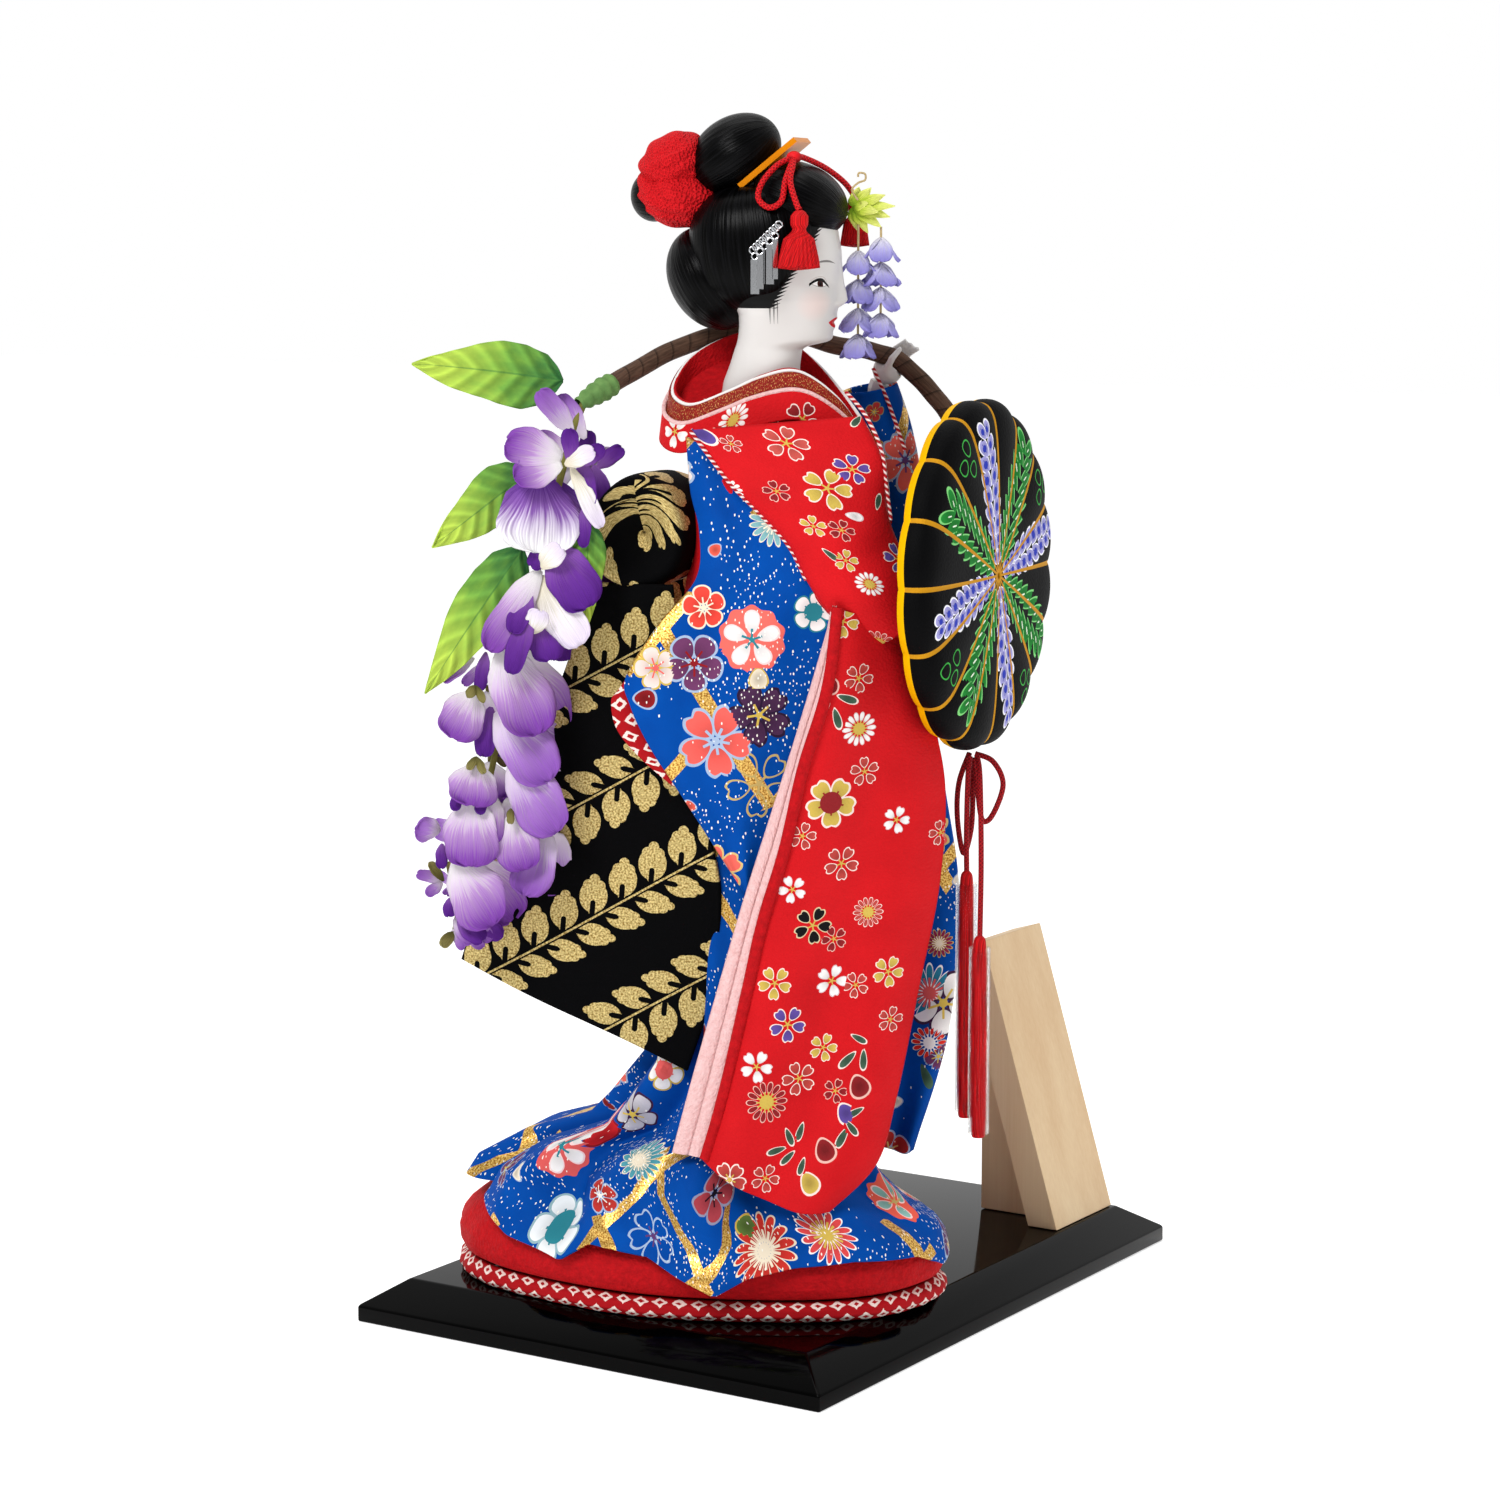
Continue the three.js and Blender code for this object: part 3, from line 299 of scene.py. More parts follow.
print("a millimetre at one metre is", round(ZOOM / 1000, 1), "pixels")

# %% [markdown]
# ### Cloth as a grid
# Cloth could be simulated until it settles. These folds were set and starched, so each garment is a
# grid whose points are moved into place by a formula. Its UV map is measured along the cloth in
# millimetres, as a tailor would, so a print keeps its size wherever the cloth bends.

# %% Cloth as a grid
PLACES = {}  # where each piece's points are in the picture, how far off, and their UV


def lay_out(s, t, points, middle):
    """UV in millimetres: along each row from the middle column, and down the middle column."""
    column = np.unique(np.round(s, 5), return_inverse=True)[1]
    row = np.unique(np.round(t, 5), return_inverse=True)[1]
    grid = np.zeros((row.max() + 1, column.max() + 1, 3))
    grid[row, column] = points
    steps = np.linalg.norm(np.diff(grid, axis=1), axis=2)
    u = np.concatenate([np.zeros((len(grid), 1)), steps.cumsum(1)], 1)
    at = int(round(middle * column.max()))
    u -= u[:, at:at + 1]
    v = np.concatenate([[0], np.linalg.norm(np.diff(grid[:, at], axis=0), axis=1).cumsum()])
    return np.stack([u[row, column], v[row]], 1), (float(np.ptp(u, axis=1).mean()), float(v[-1]))


def grid_piece(name, place, across, down, middle=0.5, closed=False, chart=None):
    """A grid moved to place(s, t), with s across it and t down it, and its size laid flat. A chart
    gives its own UV map from s, t and the placed points."""
    bpy.ops.object.select_all(action="DESELECT")
    bpy.ops.mesh.primitive_grid_add(x_subdivisions=across, y_subdivisions=down, size=2)
    obj = bpy.context.object
    obj.name = name
    mesh = obj.data
    co = read(mesh.vertices, "co", 3, float)
    s, t = (co[:, 0] + 1) / 2, (1 - co[:, 1]) / 2
    points = place(s, t)
    mesh.vertices.foreach_set("co", to_row(points).astype(np.float32).ravel())
    uv, obj["flat"] = lay_out(s, t, points, middle)
    if chart:
        uv = np.stack(chart(s, t, points), 1)
    corner = read(mesh.loops, "vertex_index", 1, int)
    mesh.uv_layers[0].uv.foreach_set("vector", uv[corner].astype(np.float32).ravel())
    mesh.update()
    PLACES[name] = (*picture(to_row(points)), uv)
    if closed:
        in_edit(obj, (bpy.ops.mesh.remove_doubles, {"threshold": 0.00002}),
                (bpy.ops.mesh.normals_make_consistent, {"inside": False}))
    return obj


def tube(rows, across=(0, 1, 0), fold=None):
    """A place function round a path. A row is x, y, z, half width and half height."""
    table = np.asarray([r if len(r) == 5 else (*r, r[3]) for r in rows], float)
    level = np.asarray(across, float)

    def place(s, t):
        line = along(table, t)
        way = unit(along(table[:, :3], t + 0.01) - along(table[:, :3], t - 0.01))
        side = unit(level - way * (way @ level)[:, None])
        up = np.cross(way, side)
        swell = fold(s, t) if fold else 0
        angle = 2 * math.pi * s
        return (line[:, :3] + side * ((line[:, 3] + swell) * np.cos(angle))[:, None]
                + up * ((line[:, 4] + swell) * np.sin(angle))[:, None])
    return place


def oval(angle, row, z, swell=0):
    """Points on a turned oval whose centre and half sizes are read from a table of rows by height."""
    table = np.asarray(sorted(row), float)
    cx, cy, long, wide = (np.interp(z, table[:, 0], table[:, k]) for k in (1, 2, 3, 4))
    x, y = (long + swell) * np.cos(angle), (wide + swell) * np.sin(angle)
    return swung(np.stack([x, y, z], -1), FACING, np.stack([cx, cy, 0 * z], -1))


def cloth(obj, finish, thick, held, *nodes, slot=None, rests_on=()):
    """Cloth of that thickness in millimetres, with its finish, on the figure."""
    modify(obj, "SOLIDIFY", thickness=thick / 1000, offset=-1)
    finish_mesh(obj, finish, "figure", *nodes, slot=slot)


# %% [markdown]
# ## Printed flowers
# Kimono silk is printed with cherry, plum and chrysanthemum in outline. A stamp is one flower: its
# centre and radius on the cloth, its number of petals and its colours. Each face of the grid
# remembers the stamp it lies in, and where, so the shader can draw the petals sharply from a formula.

# %% Printed flowers
# A kind of flower is its number of petals, a petal's centre, half length and half width, its notch, and
# the radius of the disc in its middle and of the plate behind it. All are shares of its radius.
FLOWERS = {
    "cherry": (5, 0.62, 0.38, 0.29, 0.3, 0.08, 0),
    "full_cherry": (5, 0.55, 0.45, 0.36, 0.3, 0.1, 0),
    "gold_cherry": (5, 0.56, 0.44, 0.36, 0.22, 0.42, 0),
    "plum": (5, 0.56, 0.44, 0.41, 0, 0.13, 0),
    "mum": (14, 0.7, 0.3, 0.13, 0, 0.34, 0),
    "wide_mum": (16, 0.58, 0.42, 0.115, 0, 0.16, 0),
    "star_plum": (5, 0.6, 0.4, 0.42, 0, 0.44, 0),
    "medallion": (5, 0.52, 0.36, 0.23, 0, 0.09, 0.98),
    "leaf": (1, 0, 1, 0.34, 0, 0, 0),
    "bud": (1, 0, 0.95, 0.8, 0, 0, 0),
    "petal": (1, 0, 1, 0.55, 0, 0, 0),
    "spray": (1, 0, 1, 0.62, 0, 0.3, 0),
    "frond": (1, 0, 1, 0.36, 0, 0.05, 0),
    "curl": (1, 0, 1, 1, 0, 0, 0),
}
REACH = 1.25  # a stamp owns the cloth within this many of its radii


def stamp(obj, stamps):
    """Each face keeps its nearest stamp, and its corners their place in it, in stamp radii."""
    mesh = obj.data
    uv = read(mesh.uv_layers[0].uv, "vector", 2, np.float32)
    start = read(mesh.polygons, "loop_start", 1, int)
    total = read(mesh.polygons, "loop_total", 1, int)
    face = np.repeat(np.arange(len(start)), total)
    middle = np.add.reduceat(uv, start, axis=0) / total[:, None]
    best = np.full(len(start), REACH)
    owner = np.full(len(start), -1)
    for k, (u, v, radius, *_rest) in enumerate(stamps):
        apart = np.hypot(middle[:, 0] - u, middle[:, 1] - v) / radius
        nearer = apart < best
        best[nearer] = apart[nearer]
        owner[nearer] = k
    values = {name: np.zeros((len(uv), width), np.float32) for name, width in
              (("spot", 3), ("petal", 3), ("mark", 3), ("tint", 4), ("rim", 4), ("heart", 4))}
    values["spot"][:, 0] = 9
    values["spot"][:, 2] = 1
    values["petal"][:] = (0, 1, 1)
    for k, (u, v, radius, turn, kind, tint, rim, heart) in enumerate(stamps):
        mine = owner[face] == k
        if not mine.any():
            continue
        count, *form = FLOWERS[kind]
        x, y = (uv[mine, 0] - u) / radius, (uv[mine, 1] - v) / radius
        c, s = math.cos(turn), math.sin(turn)
        values["spot"][mine] = np.stack([c * x + s * y, c * y - s * x, np.full(len(x), count)], 1)
        values["petal"][mine] = form[:3]
        values["mark"][mine] = form[3:]
        values["tint"][mine] = (0, 0, 0, 0) if tint is None else linear(tint)
        values["rim"][mine] = linear(rim)
        values["heart"][mine] = linear(heart)
    for name, value in values.items():
        kind = "FLOAT_VECTOR" if value.shape[1] == 3 else "FLOAT_COLOR"
        layer = mesh.attributes.new(name, kind, "CORNER")
        layer.data.foreach_set("vector" if value.shape[1] == 3 else "color", value.ravel())


print(len(FLOWERS), "kinds of flower")

# %% [markdown]
# ### Strewn and pinned flowers
# A repeat of one block would show on so much cloth. Here the flowers that the photograph shows are
# pinned to their places, and the rest are strewn by dice with a fixed seed, the same in every run.


# %% Strewn and pinned flowers
def scatter(seed, low, high, recipe, tries, gap, keep=()):
    """Stamps strewn over a stretch of cloth without touching. A recipe row is a kind, the least and
    greatest radius, petal colours, rim colours and heart colours."""
    dice = random.Random(seed)
    placed = list(keep)
    for _ in range(tries):
        kind, least, most, tints, rims, hearts = dice.choice(recipe)
        radius = dice.uniform(least, most)
        u, v = dice.uniform(low[0], high[0]), dice.uniform(low[1], high[1])
        turn = dice.uniform(0, 2 * math.pi)
        colours = (dice.choice(tints), dice.choice(rims), dice.choice(hearts))
        if all(math.hypot(u - p[0], v - p[1]) > (radius + p[2]) + gap for p in placed):
            placed.append((u, v, radius, turn, kind, *colours))
    return placed


def pinned(pieces, flowers):
    """The stamps of each piece for flowers given by their place in the photograph: each goes to the
    piece that is nearest to the viewer there."""
    stamps = {piece.name: [] for piece in pieces}
    for px, py, *flower in flowers:
        best = (9.0, None, None)
        for name in stamps:
            x, y, depth, uv = PLACES[name]
            there = np.flatnonzero(np.hypot(x - px, y - py) < 7)
            if len(there):
                first = there[depth[there].argmin()]
                best = min(best, (float(depth[first]), name, tuple(uv[first])), key=lambda b: b[0])
        if best[1]:
            stamps[best[1]].append((*best[2], *flower))
    return stamps


# %% [markdown]
# ### Drawing a flower
# The shader folds the angle into one sector, so that one petal is drawn and all of them show. A petal
# is an ellipse that widens outwards, with a notch at its tip for cherry. An image would blur close up.


# %% Drawing a flower
def printed(add, ground):
    """The ground colour with the stamped flowers drawn over it, and how much of it they cover."""
    layers = {name: add("Attribute", attribute_name=name).outputs
              for name in ("spot", "petal", "mark", "tint", "rim", "heart")}
    spot, petal, mark = (add("SeparateXYZ", layers[name]["Vector"]).outputs
                         for name in ("spot", "petal", "mark"))
    xx = add("MULTIPLY", spot[0], spot[0])
    radius = add("SQRT", add("MULTIPLY_ADD", spot[1], spot[1], xx))
    angle = add("ARCTAN2", spot[1], spot[0])
    sector = add("DIVIDE", 2 * math.pi, spot[2])
    half = add("MULTIPLY", sector, 0.5)
    low = add("MULTIPLY", sector, -0.5)
    turned = add("WRAP", angle, half, low)
    px = add("MULTIPLY", radius, add("COSINE", turned))
    px = add("SUBTRACT", px, petal[0])
    py = add("MULTIPLY", radius, add("SINE", turned))
    side = add("ABSOLUTE", py)
    dent = add("DIVIDE", side, add("MULTIPLY", petal[2], 0.5))
    dent = add("SUBTRACT", 1.0, dent, use_clamp=True)
    dent = add("MULTIPLY", dent, add("GREATER_THAN", px, 0.0))
    dent = add("MULTIPLY", dent, mark[0])
    long = add("MULTIPLY", petal[1], add("SUBTRACT", 1.0, dent))
    taper = add("MULTIPLY_ADD", add("DIVIDE", px, petal[1]), 0.32, 1.0)
    wide = add("MULTIPLY", petal[2], taper)
    a = add("DIVIDE", px, long)
    b = add("DIVIDE", py, wide)
    bb = add("MULTIPLY", b, b)
    reach = add("SQRT", add("MULTIPLY_ADD", a, a, bb))
    inside = add("LESS_THAN", reach, 1.0)
    inner = add("LESS_THAN", reach, 0.83)
    edge = add("SUBTRACT", inside, inner)
    scallop = add("COSINE", add("MULTIPLY", angle, 10.0))
    plate = add("MULTIPLY", mark[2], add("MULTIPLY_ADD", scallop, 0.05, 1.0))
    plate = add("LESS_THAN", radius, plate)
    disc = add("LESS_THAN", radius, mark[1])
    spoke = add("LESS_THAN", side, 0.035)
    tip = add("MINIMUM", add("MULTIPLY", mark[1], 3.6), 0.5)
    spoke = add("MULTIPLY", spoke, add("LESS_THAN", radius, tip))
    heart = add("MAXIMUM", disc, spoke)
    fade = add("MapRange", radius, 0.15, 0.75, 0.62, 1.0)
    shade = add("Mix.RGBA", 1.0, layers["tint"]["Color"], fade, blend_type="MULTIPLY")
    filled = add("MULTIPLY", inner, layers["tint"]["Alpha"])
    colour = add("Mix.RGBA", plate, ground, layers["rim"]["Color"])
    colour = add("Mix.RGBA", filled, colour, shade)
    pale = add("Mix.RGBA", 0.6, layers["rim"]["Color"], (1, 1, 1, 1))
    outline = add("Mix.RGBA", plate, layers["rim"]["Color"], pale)
    colour = add("Mix.RGBA", edge, colour, outline)
    colour = add("Mix.RGBA", heart, colour, layers["heart"]["Color"])
    return colour, add("MAXIMUM", plate, inside)


# %% [markdown]
# ## Printed crepe
# The kimono is chirimen, a crepe whose twisted weft leaves fine pebbles on the silk and takes away its
# shine. Its pebbles are half a millimetre wide and drawn at about one, so that they show. The blue silk
# has gold bands and white flecks in its print.


# %% Printed crepe
def crepe_bump(add, shader, scale, strength, deep=0.0002):
    """Crepe pebbles, so many to the millimetre, as bump."""
    uv = add("UVMap")
    pebble = add("TexVoronoi.2D", uv, scale, feature="SMOOTH_F1")
    feed(shader, Normal=add("Bump", strength, deep, None, pebble.outputs["Distance"]))
    return uv


def printed_red():
    """Red crepe silk with flowers in white outline."""
    material, add, shader = new_material("red_crepe_print", Roughness=0.72)
    uv = crepe_bump(add, shader, 1.0, 0.6, 0.0003)
    cloud = add("TexNoise.2D", uv, 0.04, 2.0)
    ground = add("Mix.RGBA", cloud, linear("#b80c14"), linear("#d8141c"))
    colour, _ = printed(add, ground)
    feed(shader, Base_Color=colour)
    return material


def printed_blue():
    """Cobalt crepe silk with gold bands, white flecks and large flowers."""
    material, add, shader = new_material("blue_crepe_print", Specular_IOR_Level=0.03)
    uv = crepe_bump(add, shader, 1.1, 0.3)
    cloud = add("TexNoise.2D", uv, 0.05, 2.0)
    ground = add("Mix.RGBA", cloud, linear("#023c8e"), linear("#044ea8"))
    narrow = add("Mapping", uv, None, (0.0, 0.0, 0.5), (1.4, 0.75, 1.0))
    fleck = add("TexVoronoi.2D", narrow, 0.5)
    chance = add("SeparateColor", fleck.outputs["Color"]).outputs
    dot = add("LESS_THAN", fleck.outputs["Distance"], add("MapRange", chance[1], 0.0, 1.0, 0.09, 0.22))
    where = add("TexNoise.2D", uv, 0.022, 1.0)
    snow = add("LESS_THAN", chance[0], add("MapRange", where, 0.42, 0.66, 0.04, 0.7))
    dot = add("MULTIPLY", dot, snow)
    gold = None
    for turn, spacing, width in ((0.55, 38.0, 0.15), (-0.7, 38.0, 0.13)):
        turned = add("VectorRotate", uv, None, turn, rotation_type="Z_AXIS")
        line = add("SeparateXYZ", turned).outputs[0]
        saw = add("FRACT", add("DIVIDE", line, spacing))
        band = add("LESS_THAN", saw, width)
        gold = band if gold is None else add("MAXIMUM", gold, band)
    fence = add("TexNoise.2D", uv, 0.016, 0.0)
    gold = add("MULTIPLY", gold, add("GREATER_THAN", fence, 0.5))
    grit = add("TexNoise.2D", uv, 1.4, 3.0)
    grit = add("MapRange", grit, 0.35, 0.65)
    leaf_gold = add("Mix.RGBA", grit, linear("#9a6018"), linear("#f4cf74"))
    ground = add("Mix.RGBA", gold, ground, leaf_gold)
    colour, cover = printed(add, ground)
    colour = add("Mix.RGBA", dot, colour, linear("#f2f0e6"))
    bare = add("SUBTRACT", gold, cover, use_clamp=True)
    feed(shader, Base_Color=colour, Metallic=add("MULTIPLY", bare, 0.8),
         Roughness=add("MapRange", bare, 0.0, 1.0, 0.62, 0.38))
    return material


# %% [markdown]
# ### Plain and tie-dyed crepe
# The padded hem and the pink lining are plain crepe. The under hem was bound into rows of points before
# it was dyed, and each left a white ring. A ring is drawn in every cell of a grid, whose rows are shifted
# by half a cell.


# %% Plain and tie-dyed crepe
def plain_crepe(name, dark, light, scale, strength, deep=0.0002):
    """Plain crepe silk between two close colours."""
    material, add, shader = new_material(name, Roughness=0.8)
    uv = crepe_bump(add, shader, scale, strength, deep)
    cloud = add("TexNoise.2D", uv, scale * 0.5, 3.0)
    colour = add("Mix.RGBA", cloud, linear(dark), linear(light))
    feed(shader, Base_Color=colour)
    return material


def tie_dyed():
    """Shibori silk: red, with white rings where it was bound into rows of points for the dye."""
    material, add, shader = new_material("red_shibori", Roughness=0.75)
    uv = crepe_bump(add, shader, 0.9, 0.4)
    pitch = add("Mapping", uv, None, None, (1 / 7.6, 1 / 6.6, 1.0))
    part = add("SeparateXYZ", pitch).outputs
    row = add("FLOOR", part[1])
    shift = add("MULTIPLY_ADD", row, 0.5, part[0])
    x = add("SUBTRACT", add("FRACT", shift), 0.5)
    y = add("SUBTRACT", add("FRACT", part[1]), 0.5)
    size = add("ADD", add("ABSOLUTE", x), add("ABSOLUTE", y))
    wobble = add("TexNoise.2D", uv, 0.5, 1.0)
    size = add("MULTIPLY_ADD", wobble, 0.2, size)
    ring = add("LESS_THAN", size, 0.52)
    hole = add("LESS_THAN", size, 0.28)
    white = add("SUBTRACT", ring, hole)
    colour = add("Mix.RGBA", white, linear("#a80d16"), linear("#f0dcd4"))
    feed(shader, Base_Color=colour)
    return material


# %% [markdown]
# ### Vine satin
# The obi is black satin with vines woven in gold thread. The weave could be an image, but it is the same
# leaf over and over, so the cloth is folded into one cell and a single leaf is drawn in it.


# %% Vine satin
def vine_satin(slope):
    """Black satin with bands of gold vine. Round slit leaves lean along a stem, and every other band
    of them runs back the other way."""
    material, add, shader = new_material("black_satin_gold_vine", Specular_IOR_Level=0.05)
    uv = add("UVMap")
    turned = add("SeparateXYZ", add("VectorRotate", uv, None, slope, rotation_type="Z_AXIS")).outputs
    rise = add("DIVIDE", add("SUBTRACT", -153.5, turned[1]), 41.0)
    number = add("ROUND", rise)
    back = add("GREATER_THAN", add("FLOORED_MODULO", number, 2.0), 0.5)
    way = add("MULTIPLY_ADD", back, -2.0, 1.0)
    up = add("MULTIPLY", add("SUBTRACT", rise, number), 41.0)
    up = add("MULTIPLY", up, way)
    over = add("GREATER_THAN", up, 0.0)
    high = add("ABSOLUTE", up)
    lean = add("MULTIPLY", high, add("MapRange", over, 0.0, 1.0, 1.15, 0.7))
    sine = add("MapRange", over, 0.0, 1.0, 0.656, 0.819)
    cosine = add("MapRange", over, 0.0, 1.0, 0.755, 0.574)
    cell = add("SUBTRACT", add("MULTIPLY", turned[0], way), lean)
    cell = add("SUBTRACT", cell, add("MapRange", over, 0.0, 1.0, 6.0, 2.0))
    cell = add("WRAP", cell, 6.65, -6.65)
    along_leaf = add("MULTIPLY_ADD", cell, cosine, add("DIVIDE", high, sine))
    beside = add("MULTIPLY", cell, sine)
    aside = add("ABSOLUTE", beside)
    slim = add("MapRange", over, 0.0, 1.0, 0.79, 1.0)
    across = add("DIVIDE", aside, slim)
    leaf = add("LESS_THAN", across, add("MULTIPLY", along_leaf, 0.62))
    leaf = add("MULTIPLY", leaf, add("LESS_THAN", along_leaf, 7.0))
    slot = add("LESS_THAN", along_leaf, 6.2)
    slot = add("MULTIPLY", slot, add("LESS_THAN", aside, 1.05))
    for at, out, long, wide in ((8.8, 0.0, 6.4, 5.5), (13.0, 2.2, 2.3, 2.2), (15.6, 0.0, 2.1, 2.0),
                                (6.2, 0.0, 1.05, 1.05)):
        a = add("DIVIDE", add("SUBTRACT", along_leaf, at), long)
        b = add("DIVIDE", add("SUBTRACT", across, out), wide)
        inside = add("MULTIPLY_ADD", a, a, add("MULTIPLY", b, b))
        inside = add("LESS_THAN", inside, 1.0)
        if at > 7:
            leaf = add("MAXIMUM", leaf, inside)
        else:
            slot = add("MAXIMUM", slot, inside)
    leaf = add("SUBTRACT", leaf, slot, use_clamp=True)
    leaf = add("MULTIPLY", leaf, add("GREATER_THAN", high, 1.0))
    vine = add("MAXIMUM", leaf, add("LESS_THAN", high, 0.4))
    weave = add("TexWave", uv, 1.1, 2.0, 1.0, bands_direction="DIAGONAL")
    grit = add("TexNoise.2D", uv, 1.3, 3.0)
    grit = add("MapRange", grit, 0.3, 0.7)
    gold = add("Mix.RGBA", grit, linear("#8a6a2c"), linear("#ecd894"))
    colour = add("Mix.RGBA", vine, linear("#040405"), gold)
    lift = add("MULTIPLY_ADD", weave.outputs["Fac"], 0.35, vine)
    feed(shader, Base_Color=colour, Metallic=add("MULTIPLY", vine, 0.4),
         Roughness=add("MapRange", vine, 0.0, 1.0, 0.8, 0.45), Normal=add("Bump", 0.6, 0.0003, None, lift))
    return material


RED_PRINT = printed_red()
BLUE_PRINT = printed_blue()
VINE = vine_satin(math.radians(30))
RED_CREPE = plain_crepe("red_crepe", "#980810", "#c81018", 0.8, 0.8, 0.0004)
PINK_CREPE = plain_crepe("pink_crepe", "#dba6a4", "#f2cfce", 0.9, 0.9, 0.0005)
SHIBORI = tie_dyed()
print("cloth finishes", [m.name for m in (RED_PRINT, BLUE_PRINT, VINE, RED_CREPE, PINK_CREPE, SHIBORI)])

# %% [markdown]
# ## Board
# A low black lacquer board with a wide bevel carries everything. A cube is cut to its size, the top
# face is pulled up and drawn in to make the bevel, and every edge is broken a little, because lacquer
# rounds its corners and a sharp edge would catch no light.

# %% Board
bpy.ops.object.select_all(action="DESELECT")
board_middle = (board_low + board_high) / 2
bpy.ops.mesh.primitive_cube_add(
    size=1, location=(board_middle.x, board_middle.y, board_low.z + 0.00325),
    scale=(board_high.x - board_low.x, board_high.y - board_low.y, 0.0065))
board = bpy.context.object
board.name = "lacquer_board"
bpy.ops.object.transform_apply(location=True, rotation=True, scale=True)
bpy.ops.object.mode_set(mode="EDIT")
bpy.ops.mesh.select_mode(type="FACE")
bpy.ops.mesh.select_all(action="DESELECT")
bpy.ops.object.mode_set(mode="OBJECT")
for face in board.data.polygons:
    face.select = face.normal.z > 0.9
bpy.ops.object.mode_set(mode="EDIT")
bpy.ops.mesh.extrude_region_move(TRANSFORM_OT_translate={"value": (0, 0, 0.01)})
bpy.ops.transform.resize(value=(250 / 280, 185 / 215, 1))
bpy.ops.object.mode_set(mode="OBJECT")
modify(board, "BEVEL", width=0.0008, segments=3)
bpy.ops.object.shade_smooth_by_angle(angle=math.radians(20))
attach(board, "figure")
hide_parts("base_board")
LACQUER, add, shader = new_material("black_lacquer", IOR=1.3, Base_Color=linear("#010101"))
grain = add("TexNoise", add("TexCoord").outputs["Object"], 60.0, 2.0)
feed(shader, Roughness=add("MapRange", grain, 0.3, 0.7, 0.04, 0.09))
paint(board, LACQUER)
print("board", [round(x, 3) for x in board.dimensions])

# %% [markdown]
# ## Hem and skirt
# Three layers spread over the board: a tie-dyed under hem, a red hem padded with cotton, and the blue
# skirt whose edge hangs over the padding in uneven points. Each is an oval by height. The skirt's folds
# are listed by angle, because they were set by hand and belong where the photograph shows them.

# %% Hem and skirt
SEAM = math.radians(110)  # round pieces close here, away from the viewer
HEM = [(z, -11, -8, 100 + g, 62 + g) for z, g in ((0.4, -2), (3, 0.5), (6, 0), (8, -5))]


def under_hem(s, t):
    angle = SEAM + 2 * math.pi * s
    z = 8 - 7.6 * t
    return oval(angle, HEM, z, 0.9 * np.sin(7 * angle) + 0.3 * np.sin(31 * angle))


PADDING = [(z, -11, -8, 100 + g, 62 + g) for z, g in
           ((8.3, -5), (10, -1.8), (13, -0.4), (19, 0), (23, -1.6), (27, -4.6), (31, -10), (34, -22))]


def padded_hem(s, t):
    angle = SEAM + 2 * math.pi * s
    z = 34 - 25.7 * t
    puff = 0.5 * np.sin(7 * angle) + 0.35 * np.sin(23 * angle + 4 * t) * np.sin(math.pi * t)
    return oval(angle, PADDING, z, puff)


SKIRT = [(8, -11, -8, 100.5, 62.5), (13, -11, -8, 101.2, 63.2), (19, -11, -8, 101.8, 63.8),
         (26, -11, -8, 100, 62), (31, -11, -8, 97, 59), (38, -14, -8, 88, 54), (47, -16, -7, 80, 49),
         (58, -10, -5, 65, 44), (65, 2, -4, 51, 41), (73, 6, -3, 47, 39), (90, 13, -2, 41, 36),
         (120, 13, -1, 38, 34), (160, 10, 0, 33, 31), (195.2, 8, 0, 28, 27)]
SKIRT_EDGE = [(-250, 32), (-210, 36), (-180, 38), (-165, 39.5), (-150, 37), (-138, 33), (-125, 25),
              (-109, 20), (-102, 28), (-88, 26), (-73, 12.5), (-66, 20), (-55, 23.5), (-40, 25),
              (-18, 23), (-5, 16.5), (10, 24), (30, 26), (60, 28), (90, 30), (110, 32)]
FOLDS = [(-128, 6, 4.0), (-114, 7, -7.5), (-98, 7, 5.0), (-76, 8, 5.5), (-56, 7, -4.6), (-34, 9, 3.4),
         (-12, 8, -3.0), (-3, 7, 2.5), (-135, 9, 3), (-151, 3.5, -7), (-162, 6, 4.5), (25, 10, -2),
         (50, 12, 2), (-195, 14, 2)]


def skirt(s, t):
    angle = SEAM - 2 * math.pi + 2 * math.pi * s
    turn = np.degrees(angle)
    low = np.interp(turn, *np.transpose(SKIRT_EDGE))
    z = 195.2 + (low - 195.2) * (1 - (1 - t) ** 1.35)
    swell = sum(high * np.exp(-((turn - at) / wide) ** 2) for at, wide, high in FOLDS)
    swell = swell * 1.35 * (0.12 + 0.88 * ease(-z, -160, -58)) * (1 - 0.8 * ease(-z, -36, -26))
    near = np.maximum(0, np.cos(angle + math.radians(70)))
    swell = swell + near * 5 * ease(-z, -40, -18)
    return oval(angle, SKIRT, z, swell)


